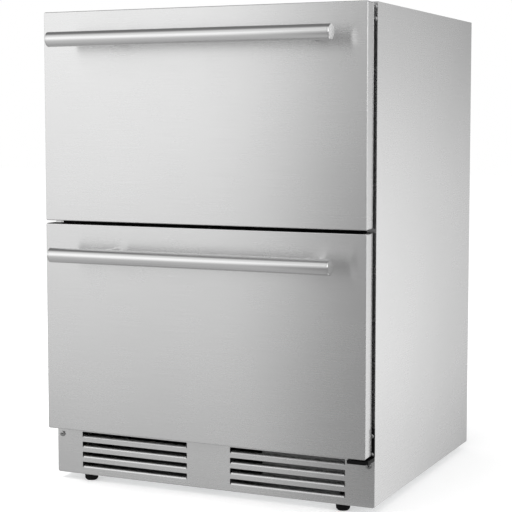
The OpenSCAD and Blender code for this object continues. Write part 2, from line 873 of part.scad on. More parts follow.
module front_skin(h) {
    hole_z = h - handle_drop;
    difference() {
        intersection() {
            linear_extrude(h) translate([-front_w / 2, 0]) front_section(front_w);
            across(front_w) mirror([1, -1]) front_section(h);
        }
        wide_block(front_w - 2 * sheet, [sheet - front_t, -sheet], [sheet, h - sheet]);
        wide_block(front_w - 2 * return_w, [-front_t / 2, 1], [return_w, h - return_w]);
        for (x = [-post_left, post_right]) rod([x, -front_t - 1, hole_z], "y", 4, 3.1);
    }
}

module front_foam(h) {
    edge = sheet + CLEAR;
    difference() {
        wide_block(front_w - 2 * edge, [sheet - front_t, -sheet - inner_t], [edge, h - edge]);
        // pockets for the handle nuts
        for (x = [-post_left, post_right]) rod([x, -front_t, h - handle_drop], "y", 13, 9);
    }
}

module inner_panel(h) {
    edge = sheet + CLEAR;
    rim = return_w + 4;
    field = rim + rim_w;
    difference() {
        union() {
            wide_block(front_w - 2 * edge, [-sheet - inner_t, -sheet], [edge, h - edge]);
            // raised rim inside the gasket
            upright(-sheet - inner_t, sheet + inner_t + rim_h)
                soft_rect([rim - front_w / 2, front_w / 2 - rim], [rim, h - rim], panel_r);
        }
        upright(-sheet, sheet + 2 * rim_h)
            soft_rect([field - front_w / 2, front_w / 2 - field], [field, h - field], panel_r - rim_w);
    }
}

// magnetic gasket: base, bellows and magnet pocket as stepped rings
module gasket(h) {
    x = [gasket_in - front_w / 2, front_w / 2 - gasket_in];
    z = [gasket_in, h - gasket_in];
    color(DARK) {
        upright(0, 2.5) ring(x, z, gasket_w, gasket_r, 0);
        upright(2.5, 3) ring(x, z, gasket_w, gasket_r, 3);
        upright(5.5, seal_gap - 5.5 - CLEAR) ring(x, z, gasket_w, gasket_r, 1);
    }
}

module at_handle(h) { translate([0, -front_t - handle_off, h - handle_drop]) children(); }

module handle_tube(h) {
    len = handle_len - 2 * cap_t;
    color(STEEL) at_handle(h) difference() {
        rod([-len / 2, 0, 0], "x", len, handle_d / 2);
        rod([-len / 2 - 1, 0, 0], "x", len + 2, handle_d / 2 - tube_wall);
        for (x = [-post_left, post_right]) rod([x, 0, 0], "y", handle_d, 3);
    }
}

// end caps with a narrow chamfer, spigots inside the tube
module handle_caps(h) {
    r = handle_d / 2;
    spigot_r = r - tube_wall - RUN;
    end = spigot_len + cap_t;
    color(STEEL) at_handle(h) both_sides() translate([handle_len / 2 - end, 0, 0]) rotate([0, 90, 0])
        rotate_extrude() polygon([
            [0, 0], [spigot_r, 0], [spigot_r, spigot_len], [r, spigot_len],
            [r, end - cap_chamfer], [r - cap_chamfer, end], [0, end]
        ]);
}

// posts: coped to the tube, with a base collar and a stud with its nut behind the skin
module handle_posts(h) {
    color(STEEL) for (x = [-post_left, post_right]) translate([x, -front_t, h - handle_drop]) {
        difference() {
            union() {
                rod([0, -handle_off, 0], "y", handle_off, post_d / 2);
                rod([0, -3, 0], "y", 3, post_d / 2 + 1);
            }
            rod([-post_d, -handle_off, 0], "x", 2 * post_d, handle_d / 2);
        }
        rod([0, -handle_off + handle_d / 2 - 5, 0], "y", handle_off - handle_d / 2 + 14, 2.9);
        translate([0, sheet, 0]) rotate([-90, 0, 0]) cylinder(h = 5, r = 5.5, $fn = 6);
    }
}

// side arms, rear bar and front tabs of the frame that carries the bin
module carrier(z) {
    x1 = carrier_x;
    x0 = x1 - carrier_t;
    low = z - carrier_h / 2;
    high = z + carrier_h / 2;
    color("silver") cab() {
        both_sides() {
            block([x0, x1], [-seal_gap, rail_len], [low, high]);
            block([x1 - carrier_lip, x1], [-seal_gap, rail_len], [high - carrier_t, high]);
            block([x1 - 40, x1], [-seal_gap, carrier_t - seal_gap], [low, high]);
        }
        wide_block(2 * x1, [rail_len - carrier_t, rail_len], [low, high]);
        wide_block(2 * x1, [-seal_gap, carrier_t - seal_gap], [low, low + 20]);
    }
}

// bin outline seen from the side, inset by g and open above; a step clears the machine space
function bin_outline(z0, z1, step, g) = let (y0 = bin_y + brim_over + g, y1 = bin_back - brim_over - g) step
    ? [[y0, z0 + g], [bin_step_y - g, z0 + g], [bin_step_y - g, bin_step_z + g],
       [y1, bin_step_z + g], [y1, z1], [y0, z1]]
    : [[y0, z0 + g], [y1, z0 + g], [y1, z1], [y0, z1]];

// a bin's body inset by g: seen from the side, from the front and from above its corners are round
module bin_body(z0, z1, step, g) {
    half = bin_w / 2 - g;
    r = bin_r - g;
    intersection() {
        across(2 * half) polygon(rounded(bin_outline(z0, z1 + 2 * r, step, g), r));
        upright(bin_y, bin_back - bin_y) polygon(rounded([
            [bin_draft - half, z0 + g], [half - bin_draft, z0 + g], [half, z1], [half, z1 + 2 * r],
            [-half, z1 + 2 * r], [-half, z1]
        ], r));
        translate([0, 0, z0]) linear_extrude(z1 - z0)
            soft_rect([-half, half], [bin_y + brim_over + g, bin_back - brim_over - g], r);
    }
}

// tub with leaning sides and an outward rim that rests on the carrier's lips
module bin(z, h, step) {
    top = z + carrier_h / 2 + CLEAR;
    low = top - h;
    brim_w = 2 * (carrier_x - carrier_t - 1);
    color(WHITE) cab() difference() {
        union() {
            bin_body(low, top + brim_t, step, 0);
            translate([0, 0, top]) linear_extrude(brim_t)
                soft_rect([-brim_w / 2, brim_w / 2], [bin_y, bin_back], bin_r);
        }
        bin_body(low, top + brim_t + 1, step, bin_t);
    }
}

module upper_front_skin() { color(STEEL) at_front(upper_front_z) front_skin(upper_front_h); }
module upper_front_foam() { color([0.93, 0.88, 0.7]) at_front(upper_front_z) front_foam(upper_front_h); }
module upper_inner_panel() { color(WHITE) at_front(upper_front_z) inner_panel(upper_front_h); }
module upper_gasket() { at_front(upper_front_z) gasket(upper_front_h); }
module upper_handle_tube() { at_front(upper_front_z) handle_tube(upper_front_h); }
module upper_handle_caps() { at_front(upper_front_z) handle_caps(upper_front_h); }
module upper_handle_posts() { at_front(upper_front_z) handle_posts(upper_front_h); }
module upper_carrier() { carrier(upper_rail_z); }
module upper_bin() { bin(upper_rail_z, upper_bin_h, false); }

module lower_front_skin() { color(STEEL) at_front(lower_front_z) front_skin(lower_front_h); }
module lower_front_foam() { color([0.93, 0.88, 0.7]) at_front(lower_front_z) front_foam(lower_front_h); }
module lower_inner_panel() { color(WHITE) at_front(lower_front_z) inner_panel(lower_front_h); }
module lower_gasket() { at_front(lower_front_z) gasket(lower_front_h); }
module lower_handle_tube() { at_front(lower_front_z) handle_tube(lower_front_h); }
module lower_handle_caps() { at_front(lower_front_z) handle_caps(lower_front_h); }
module lower_handle_posts() { at_front(lower_front_z) handle_posts(lower_front_h); }
module lower_carrier() { carrier(lower_rail_z); }
module lower_bin() { bin(lower_rail_z, lower_bin_h, true); }

// ---------- nodes ----------

cabinet_wrap();
back_panel();
base_pan();
machine_deck();
liner();
insulation();
centre_rail();
bottom_rail();
kick_plate();
kick_screws();
corner_bracket();
frame_screws();
compressor();
compressor_grommets();
condenser();
condenser_fan_shroud();
condenser_fan_motor();
condenser_fan();
filter_drier();
refrigerant_tubes();
drain_pan();
control_box();
power_inlet();
rear_cover();
rear_screws();
evaporator();
evaporator_cover();
evaporator_fan_motor();
evaporator_fan();
light_bar();
control_panel();
front_left_foot();
front_right_foot();
rear_left_foot();
rear_right_foot();
upper_cabinet_rails();
upper_middle_rails();
upper_drawer_rails();
lower_cabinet_rails();
lower_middle_rails();
lower_drawer_rails();
upper_front_skin();
upper_front_foam();
upper_inner_panel();
upper_gasket();
upper_handle_tube();
upper_handle_caps();
upper_handle_posts();
upper_carrier();
upper_bin();
lower_front_skin();
lower_front_foam();
lower_inner_panel();
lower_gasket();
lower_handle_tube();
lower_handle_caps();
lower_handle_posts();
lower_carrier();
lower_bin();
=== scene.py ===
"""Finished look of the undercounter drawer refrigerator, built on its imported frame, in metres."""

import json
import math

import bmesh
import bpy
from bpy.props import FloatProperty, FloatVectorProperty, IntProperty, PointerProperty
from bpy.types import NodeSocket, Operator, Panel, PropertyGroup
from mathutils import Matrix, Vector

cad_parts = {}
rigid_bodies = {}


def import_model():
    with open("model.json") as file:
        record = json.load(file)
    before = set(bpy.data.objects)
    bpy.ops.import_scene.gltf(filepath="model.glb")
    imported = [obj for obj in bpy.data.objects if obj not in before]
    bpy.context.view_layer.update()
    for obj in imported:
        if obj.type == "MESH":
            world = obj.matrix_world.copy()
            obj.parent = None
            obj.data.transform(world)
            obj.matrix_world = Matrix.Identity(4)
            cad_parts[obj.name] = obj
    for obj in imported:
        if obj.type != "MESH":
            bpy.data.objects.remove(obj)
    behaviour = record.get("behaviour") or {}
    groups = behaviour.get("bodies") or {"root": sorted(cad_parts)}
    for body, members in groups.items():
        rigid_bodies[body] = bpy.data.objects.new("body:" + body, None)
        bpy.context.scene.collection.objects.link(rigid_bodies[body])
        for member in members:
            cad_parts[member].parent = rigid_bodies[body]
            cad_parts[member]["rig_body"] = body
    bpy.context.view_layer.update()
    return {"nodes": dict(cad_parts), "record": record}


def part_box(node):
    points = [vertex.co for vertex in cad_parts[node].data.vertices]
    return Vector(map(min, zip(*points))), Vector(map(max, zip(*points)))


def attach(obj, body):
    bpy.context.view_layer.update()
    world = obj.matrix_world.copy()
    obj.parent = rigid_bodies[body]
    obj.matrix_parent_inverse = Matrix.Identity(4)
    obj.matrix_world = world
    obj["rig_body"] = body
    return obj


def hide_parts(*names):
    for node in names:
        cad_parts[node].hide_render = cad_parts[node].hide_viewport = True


bl_info = {
    "name": "Undercounter Drawer Refrigerator",
    "version": (1, 0, 0),
    "blender": (4, 5, 0),
    "location": "3D View > Sidebar > Refrigerator",
    "description": "Finishes the cabinet, drawers and kick plate of an undercounter refrigerator",
    "category": "Object",
}

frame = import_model()
MM = 0.001
MERGE = 0.002 * MM  # vertices closer than this are one
SLOT_OF = {row["node"]: row["material_slot"] for row in frame["record"]["subparts"]}
BODY_OF = {node: obj["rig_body"] for node, obj in frame["nodes"].items()}
FRONT_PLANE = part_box("cabinet_wrap")[0].y
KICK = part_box("kick_plate")
DRAWERS = ("upper", "lower")


# ---------- sizes and colours ----------


def size(name, description, millimetres):
    """A length as a property."""
    value = millimetres * MM
    return FloatProperty(name=name, description=description, default=value, min=0, unit="LENGTH")


def tint(name, description, colour):
    """A colour as a property."""
    return FloatVectorProperty(name=name, description=description, default=colour, min=0, max=1,
                               subtype="COLOR")


def share(name, description, value):
    """A number from 0 to 1 as a property."""
    return FloatProperty(name=name, description=description, default=value, min=0, max=1,
                         subtype="FACTOR")


def heading(name, description, degrees):
    """An angle as a property."""
    value = math.radians(degrees)
    return FloatProperty(name=name, description=description, default=value, subtype="ANGLE")


class SheetSizes(PropertyGroup):
    thickness: size("Sheet thickness", "Thickness of the steel sheet", 1.2)
    fold: size("Fold radius", "Outside radius of a front's folded edges", 1.8)
    back_return: size("Return", "Width of a front's edge folded in behind it", 26)
    edge: size("Edge rounding", "Rounding of the cabinet's cut and folded edges", 0.6)
    # the black strip on the lower front's top is painted shade: it stands for the dark gap between the
    # drawers
    painted_shade: size("Trim", "Thickness of the black strip on the lower front's top", 0.35)


class HandleSizes(PropertyGroup):
    cap: size("Cap thickness", "Visible thickness of an end cap", 3)
    chamfer: size("Cap chamfer", "Chamfer round an end cap's face", 0.8)
    dome: size("Cap dome", "Rise of an end cap's face in its middle", 0.25)
    joint: size("Cap joint", "Width of the fine joint between cap and tube", 0.3)


class LouvreSizes(PropertyGroup):
    rows: IntProperty(name="Rows", description="Louvres in each group", default=4, min=1)
    pitch: size("Pitch", "Height from one louvre to the next", 18)
    height: size("Opening", "Height of a louvre's opening", 10)
    length: size("Length", "Length of a louvre", 208)
    gap: size("Middle", "Plain width between the two groups", 82)
    top: size("Top", "Height of the top louvre's upper edge", 88)
    corner: size("Corner", "Corner radius of an opening", 1.5)


class TubSizes(PropertyGroup):
    wall: size("Bin wall", "Wall thickness of a bin", 2.5)
    corner: size("Bin corner", "Corner radius of a bin", 14)
    lean: size("Lean", "Inward lean of a bin's sides at the bottom", 5)
    side_brim: size("Side brim", "Width of a bin's brim at its sides", 12)
    end_brim: size("End brim", "Width of a bin's brim at its front and back", 8)
    bin_step_depth: size("Bin step depth", "From the cabinet's front to the lower bin's step", 325)
    bin_step_height: size("Bin step height", "Height of the lower bin's upper floor", 263)
    liner_wall: size("Liner wall", "Wall thickness of the liner", 2)
    liner_corner: size("Liner corner", "Corner radius inside the food space", 9)
    liner_step_depth: size("Liner step depth", "From the cabinet's front to the liner's step", 335)
    liner_step_rise: size("Liner step rise", "Rise of the liner's step above its floor", 118)


class Colours(PropertyGroup):
    steel: tint("Steel", "Brushed stainless steel", (0.74, 0.74, 0.74))
    steel_roughness: share("Steel roughness", "Roughness of the satin finish", 0.27)
    steel_smear: share("Steel smear", "How much the brushing smears reflections across it", 0.8)
    grain: size("Grain depth", "Depth of the brushed grain", 0.0008)
    plastic: tint("White plastic", "Moulded food-safe plastic", (0.82, 0.83, 0.83))
    black: tint("Black", "Rubber, paint and dark plastic", (0.007, 0.007, 0.0075))


class StudioSettings(PropertyGroup):
    lens: FloatProperty(name="Lens", description="Focal length of the camera",
                        default=99.49, subtype="DISTANCE_CAMERA")
    turn: heading("Turn", "Camera's turn to the right of the fronts", 24.578)
    tilt: heading("Tilt", "Camera's downward tilt", 4.58)
    shift: FloatProperty(name="Shift", description="Lens shift, which keeps the uprights nearly parallel",
                         default=-0.04, min=-0.5, max=0.5)
    place: FloatVectorProperty(name="Place", description="Where the camera stands",
                               default=(1.0604, -2.3393, 0.6353), subtype="TRANSLATION")
    lamp: FloatProperty(name="Lamp", description="Power of the overhead soft light",
                        default=55, min=0, subtype="POWER")
    floor: share("Floor", "Paleness of the floor", 0.82)


SETTINGS = {
    "fridge_sheet": SheetSizes, "fridge_handle": HandleSizes, "fridge_louvre": LouvreSizes,
    "fridge_tub": TubSizes, "fridge_colours": Colours, "fridge_studio": StudioSettings,
}


# ---------- mesh helpers ----------


def link(name, data):
    """Puts an object in the scene at the origin."""
    obj = bpy.data.objects.new(name, data)
    bpy.context.scene.collection.objects.link(obj)
    return obj


def to_mesh(bm, name):
    """Turns a bmesh into a mesh and frees it."""
    mesh = bpy.data.meshes.new(name)
    bm.to_mesh(mesh)
    bm.free()
    return mesh


def closed_mesh(bm, name):
    """Turns a bmesh into a mesh with its doubles merged and its normals outwards."""
    bmesh.ops.remove_doubles(bm, verts=bm.verts, dist=MERGE)
    bmesh.ops.recalc_face_normals(bm, faces=bm.faces)
    return to_mesh(bm, name)


def add_mesh(bm, mesh):
    """Adds a mesh to a bmesh and frees it."""
    bm.from_mesh(mesh)
    bpy.data.meshes.remove(mesh)


def cad_copy(node):
    """A merged copy of a CAD node's mesh with its flat faces joined."""
    bm = bmesh.new()
    bm.from_mesh(frame["nodes"][node].data)
    bmesh.ops.remove_doubles(bm, verts=bm.verts, dist=MERGE)
    bmesh.ops.dissolve_limit(bm, angle_limit=math.radians(0.5), verts=bm.verts, edges=bm.edges)
    return to_mesh(bm, node)


def finish_of(slot):
    """The finished material of a CAD material slot."""
    return bpy.data.materials[slot + "_finish"]


def wear_smooth(mesh, slot):
    """Gives a mesh one finish and smooth shading."""
    mesh.materials.clear()
    mesh.materials.append(finish_of(slot))
    mesh.polygons.foreach_set("use_smooth", [True] * len(mesh.polygons))


def piece(name, mesh, *nodes, rounding=0.0, segments=2, wall=0.0, angle=32, marked=False):
    """A mesh as a finished piece: it stands for CAD nodes, rides on their body and wears their finish."""
    slot = SLOT_OF[nodes[0]]
    wear_smooth(mesh, slot)
    obj = link(name, mesh)
    if rounding:
        bevel = obj.modifiers.new("edges", "BEVEL")
        bevel.width, bevel.segments, bevel.angle_limit = rounding, segments, math.radians(angle)
        bevel.limit_method = "WEIGHT" if marked else "ANGLE"
    if wall:
        shell = obj.modifiers.new("wall", "SOLIDIFY")
        shell.thickness, shell.offset, shell.use_even_offset = wall, -1, True
    if not (rounding or wall):
        mesh.set_sharp_from_angle(angle=math.radians(angle))
    obj.modifiers.new("shading", "WEIGHTED_NORMAL").keep_sharp = True
    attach(obj, BODY_OF[nodes[0]])
    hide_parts(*nodes)


def rounded_copy(node, rounding, segments=2):
    """Stands for a CAD node with a copy of it whose edges are slightly rounded."""
    piece(node + "_finished", cad_copy(node), node, rounding=rounding, segments=segments)


def revolve(bm, profile, start, axis, across, sides):
    """Spins (distance along axis, radius) points round a line; points of no radius close as poles."""
    aside = axis.cross(across)
    rings = []
    for along, radius in profile:
        centre = start + axis * along
        if radius == 0:
            rings.append([bm.verts.new(centre)])
            continue
        ring = []
        for i in range(sides):
            turn = 2 * math.pi * i / sides
            out = across * math.cos(turn) + aside * math.sin(turn)
            ring.append(bm.verts.new(centre + out * radius))
        rings.append(ring)
    for first, second in zip(rings, rings[1:]):
        for i in range(sides):
            j = (i + 1) % sides
            corners = ((first, i), (first, j), (second, j), (second, i))
            corners = list(dict.fromkeys(ring[spot % len(ring)] for ring, spot in corners))
            if len(corners) > 2:
                bm.faces.new(corners)


def join_rings(bm, rings, open_side=None):
    """A closed shell over rings of as many corners each, but for one side of theirs."""
    rings = [[bm.verts.new(corner) for corner in ring] for ring in rings]
    for first, second in zip(rings, rings[1:]):
        for i in range(len(first)):
            if i != open_side:
                j = (i + 1) % len(first)
                bm.faces.new((first[i], first[j], second[j], second[i]))
    bm.faces.new(rings[0])
    bm.faces.new(rings[-1])


def extrude_outline(bm, outline, x0, x1):
    """A closed (y, z) outline drawn out from x0 to x1, with both ends closed."""
    join_rings(bm, [[(x, y, z) for y, z in outline] for x in (x0, x1)])


def plate_with_openings(outline, openings, thickness, rounding):
    """A flat sheet in x and z with openings, its faces on y = 0 and y = thickness, its edges eased."""
    curve = bpy.data.curves.new("plate", "CURVE")
    curve.dimensions, curve.fill_mode = "2D", "BOTH"
    curve.extrude, curve.bevel_depth, curve.offset = thickness / 2 - rounding, rounding, -rounding
    curve.bevel_resolution = 1
    for loop in [outline] + openings:
        add_spline(curve, [(x, z, 0) for x, z in loop])
    holder = link("plate", curve)
    mesh = evaluated_mesh(holder)
    bpy.data.objects.remove(holder)
    mesh.transform(Matrix.Translation((0, thickness / 2, 0)) @ Matrix.Rotation(math.radians(90), 4, "X"))
    return mesh


def add_spline(curve, points):
    """Adds a closed straight-sided spline to a curve."""
    spline = curve.splines.new("POLY")
    spline.points.add(len(points) - 1)
    for point, place in zip(spline.points, points):
        point.co = (*place, 1)
    spline.use_cyclic_u = True


def evaluated_mesh(obj):
    """The plain mesh that an object's curve or modifiers make."""
    return bpy.data.meshes.new_from_object(obj.evaluated_get(bpy.context.evaluated_depsgraph_get()))


def rounded_rectangle(x0, x1, z0, z1, radius):
    """Corner points of a rectangle with round corners, anticlockwise."""
    points, steps_per_corner = [], 4
    for cx, cz, turn in ((x1 - radius, z1 - radius, 0), (x0 + radius, z1 - radius, 90),
                         (x0 + radius, z0 + radius, 180), (x1 - radius, z0 + radius, 270)):
        for i in range(steps_per_corner + 1):
            angle = math.radians(turn + 90 * i / steps_per_corner)
            points.append((cx + radius * math.cos(angle), cz + radius * math.sin(angle)))
    return points


def bend(radius):
    """Points (inset, depth) round a quarter bend, from its face to its side."""
    angles = steps(0, math.pi / 2, 6)
    return [(radius * (1 - math.sin(angle)), radius * (1 - math.cos(angle))) for angle in angles]


def steps(start, end, count):
    """Evenly spaced numbers from start to end."""
    return [start + (end - start) * i / (count - 1) for i in range(count)]


# ---------- node helpers ----------


def fill(tree, socket, value):
    """Sets a socket to a plain value, or links it to another node's output."""
    if isinstance(value, NodeSocket):
        tree.links.new(value, socket)
    else:
        socket.default_value = value


def add_node(tree, kind, *values, operation=None, mode=None, **named):
    """A node of the tree's own sort with its inputs filled, in order or by name, with _ for a space."""
    node = tree.nodes.new(tree.bl_idname.replace("Tree", kind))
    if operation:
        node.operation = operation
    if mode:
        node.mode = mode
    for socket, value in zip(node.inputs, values):
        fill(tree, socket, value)
    for name, value in named.items():
        fill(tree, node.inputs[name.replace("_", " ")], value)
    return node


def tree_with(name, **sockets):
    """A geometry node tree with named inputs, and its input node's outputs."""
    tree = bpy.data.node_groups.new(name, "GeometryNodeTree")
    tree.interface.new_socket("Geometry", in_out="INPUT", socket_type="NodeSocketGeometry")
    for label, kind in sockets.items():
        tree.interface.new_socket(label, in_out="INPUT", socket_type="NodeSocket" + kind)
    tree.interface.new_socket("Geometry", in_out="OUTPUT", socket_type="NodeSocketGeometry")
    return tree, tree.nodes.new("NodeGroupInput").outputs


def finish_tree(tree, finish, geometry):
    """Ends a tree in Realize Instances and Set Material."""
    real = add_node(tree, "RealizeInstances", Geometry=geometry)
    paint = add_node(tree, "SetMaterial", Geometry=real.outputs["Geometry"], Material=finish)
    tree.links.new(paint.outputs["Geometry"], tree.nodes.new("NodeGroupOutput").inputs["Geometry"])
    return tree


def rows_tree():
    """Sets a piece on every point of a mesh, and repeats it Count times by Step."""
    name = "pieces_in_rows"
    if name in bpy.data.node_groups:
        return bpy.data.node_groups[name]
    tree, given = tree_with(name, Piece="Object", Count="Int", Step="Vector", Finish="Material")
    line = add_node(tree, "MeshLine", mode="OFFSET", Count=given["Count"], Offset=given["Step"])
    rows = add_node(tree, "InstanceOnPoints", Points=given["Geometry"], Instance=line.outputs["Mesh"])
    points = add_node(tree, "RealizeInstances", Geometry=rows.outputs["Instances"])
    shape = add_node(tree, "ObjectInfo", Object=given["Piece"])
    pieces = add_node(tree, "InstanceOnPoints",
                      Points=points.outputs["Geometry"], Instance=shape.outputs["Geometry"])
    return finish_tree(tree, given["Finish"], pieces.outputs["Instances"])


def frame_tree():
    """Sweeps a profile round a rectangle with round corners, in x and z."""
    name = "profile_round_frame"
    if name in bpy.data.node_groups:
        return bpy.data.node_groups[name]
    tree, given = tree_with(name, Profile="Object", Width="Float", Height="Float", Corner="Float",
                            Centre="Vector", Finish="Material")
    path = add_node(tree, "CurvePrimitiveQuadrilateral", Width=given["Width"], Height=given["Height"])
    corner = add_node(tree, "FilletCurve", mode="POLY",
                      Curve=path.outputs["Curve"], Radius=given["Corner"], Count=6)
    shape = add_node(tree, "ObjectInfo", Object=given["Profile"])
    sweep = add_node(tree, "CurveToMesh",
                     Curve=corner.outputs["Curve"], Profile_Curve=shape.outputs["Geometry"])
    place = add_node(tree, "Transform", Geometry=sweep.outputs["Mesh"],
                     Translation=given["Centre"], Rotation=(math.radians(90), 0, 0))
    return finish_tree(tree, given["Finish"], place.outputs["Geometry"])


def run_tree(tree, points, values, helper):
    """The plain mesh that a tree makes from points, then removes what it was made from."""
    base = bpy.data.meshes.new("points")
    base.from_pydata(points, [], [])
    host = link("points", base)
    rule = host.modifiers.new("rule", "NODES")
    rule.node_group = tree
    for item in tree.interface.items_tree:
        if item.in_out == "INPUT" and item.name in values:
            rule[item.identifier] = values[item.name]
    bpy.context.view_layer.update()
    mesh = evaluated_mesh(host)
    host.modifiers.remove(rule)
    for spare in (host, helper):
        bpy.data.objects.remove(spare)
    return mesh


def repeat(shape, points, slot, count=1, step=(0, 0, 0)):
    """A mesh of a shape set on points and repeated count times by step."""
    helper = link("shape", shape)
    values = {"Piece": helper, "Count": count, "Step": step, "Finish": finish_of(slot)}
    return run_tree(rows_tree(), points, values, helper)


# ---------- finishes ----------


class Finish:
    """Builds one procedural material node by node, on Object coordinates."""

    def __init__(self, name, roughness, metallic=0.0):
        material = bpy.data.materials.new(name + "_finish")
        material.use_nodes = True
        self.tree = material.node_tree
        self.shader = self.tree.nodes["Principled BSDF"]
        self.wear(Metallic=metallic, Roughness=roughness)
        coordinates = self.node("TexCoord")
        self.place, self.normal = coordinates.outputs["Object"], coordinates.outputs["Normal"]

    def wear(self, **looks):
        """Sets the shader's inputs, by name, to plain values or other nodes' outputs."""
        for name, value in looks.items():
            fill(self.tree, self.shader.inputs[name.replace("_", " ")], value)

    def node(self, kind, *values, **named):
        """A shader node with its inputs filled."""
        return add_node(self.tree, kind, *values, **named)

    def value(self, kind, *values, **named):
        """The first output of a shader node with its inputs filled."""
        return self.node(kind, *values, **named).outputs[0]

    def noise(self, scale, detail, place=None):
        """Noise of a scale per metre."""
        return self.value("TexNoise", place or self.place, Scale=scale, Detail=detail)

    def cells(self, scale):
        """Voronoi cells: their distance from the middle, and a random colour for each."""
        cells = self.node("TexVoronoi", self.place, Scale=scale)
        return cells.outputs["Distance"], cells.outputs["Color"]

    def brushed(self, stretch):
        """Places drawn out along the brushing, along x or on a side along y, and the way across it."""
        sideways = self.value("Math", self.value("SeparateXYZ", self.normal), operation="ABSOLUTE")
        side = self.value("Math", sideways, 0.7, operation="GREATER_THAN")
        front = self.value("Math", 1.0, side, operation="SUBTRACT")
        along = self.value("CombineXYZ", front, side, 0.0)
        short = self.value("VectorMath", along, (stretch - 1,) * 3, (1, 1, 1), operation="MULTIPLY_ADD")
        place = self.value("VectorMath", self.place, short, operation="MULTIPLY")
        return place, self.value("VectorMath", self.normal, along, operation="CROSS_PRODUCT")

    def spread(self, value, low, high, start=0.3, end=0.7):
        """Stretches a value's middle range to run from low to high."""
        return self.value("MapRange", Value=value, From_Min=start, From_Max=end, To_Min=low, To_Max=high)

    def blend(self, value, dark, light):
        """A colour between two, by a value's middle range."""
        ramp = self.node("ValToRGB", value)
        for element, position, colour in zip(ramp.color_ramp.elements, (0.3, 0.7), (dark, light)):
            element.position, element.color = position, (*colour, 1)
        return ramp.outputs["Color"]

    def mean(self, *values):
        """Mean of several values."""
        total = values[0]
        for value in values[1:]:
            total = self.value("Math", total, value, operation="ADD")
        return self.value("Math", total, 1 / len(values), operation="MULTIPLY")

    def bump(self, height, depth):
        """A normal bumped by a height from 0 to 1 that stands for a depth."""
        return self.value("Bump", Height=height, Distance=depth)


def toned(colour, factor):
    """A colour made darker or lighter."""
    return tuple(min(channel * factor, 1) for channel in colour)


def brushed_steel(name, colour, roughness, grain, smear=0.0):
    """Satin steel: fine lines that smear reflections across them, faint clouds and handling marks."""
    finish = Finish(name, roughness, metallic=1)
    place, across = finish.brushed(0.012)
    lines = finish.noise(900, 3, place)
    fine = finish.noise(2600, 2, place)
    clouds = finish.noise(3.5, 3)
    marks = finish.noise(26, 5)
    finish.wear(
        Base_Color=finish.blend(finish.mean(lines, clouds), toned(colour, 0.955), toned(colour, 1.03)),
        Roughness=finish.spread(finish.mean(lines, clouds, marks), roughness - 0.015, roughness + 0.015),
        Normal=finish.bump(finish.mean(lines, fine), grain), Anisotropic=smear, Tangent=across)


def galvanised(name):
    """Zinc-coated sheet with its faint crystal spangle."""
    finish = Finish(name, 0.45, metallic=0.9)
    crystals = finish.node("SeparateColor", finish.cells(95)[1]).outputs
    clouds = finish.noise(7, 4)
    tone = finish.mean(crystals["Red"], clouds, clouds)
    finish.wear(Base_Color=finish.blend(tone, (0.5, 0.515, 0.525), (0.66, 0.67, 0.68)),
                Roughness=finish.spread(crystals["Green"], 0.36, 0.52, 0, 1),
                Normal=finish.bump(finish.noise(420, 3), 0.02 * MM))


def plated(name, colour, roughness):
    """Zinc-plated steel, slightly cloudy."""
    finish = Finish(name, roughness, metallic=1)
    finish.wear(
        Base_Color=finish.blend(finish.noise(60, 4), toned(colour, 0.9), toned(colour, 1.05)),
        Roughness=finish.spread(finish.noise(240, 3), roughness - 0.06, roughness + 0.08),
        Normal=finish.bump(finish.noise(700, 2), 0.01 * MM))


def moulded(name, colour, roughness, texture=700, depth=0.02 * MM, tone=0.03, gloss=0.5):
    """Moulded plastic, paint or rubber with a fine surface texture and slight unevenness."""
    finish = Finish(name, roughness)
    finish.wear(
        Base_Color=finish.blend(finish.noise(9, 3), toned(colour, 1 - tone), toned(colour, 1 + tone)),
        Roughness=finish.spread(finish.noise(48, 4), roughness - 0.05, roughness + 0.06),
        Normal=finish.bump(finish.noise(texture, 2), depth), Specular_IOR_Level=gloss)
    return finish


def foam(name):
    """Rigid foam with its closed cells."""
    finish = Finish(name, 0.9)
    finish.wear(Base_Color=finish.blend(finish.noise(30, 4), (0.80, 0.72, 0.48), (0.88, 0.81, 0.58)),
                Normal=finish.bump(finish.cells(620)[0], 0.3 * MM))


def frosted_lens(name):
    """Frosted cover of the light strip, with a faint fine texture."""
    finish = moulded(name, (0.9, 0.92, 0.95), 0.38, texture=1200, depth=0.01 * MM, tone=0.02)
    finish.wear(Transmission_Weight=0.25, Coat_Weight=0.2)


# ---------- operators ----------


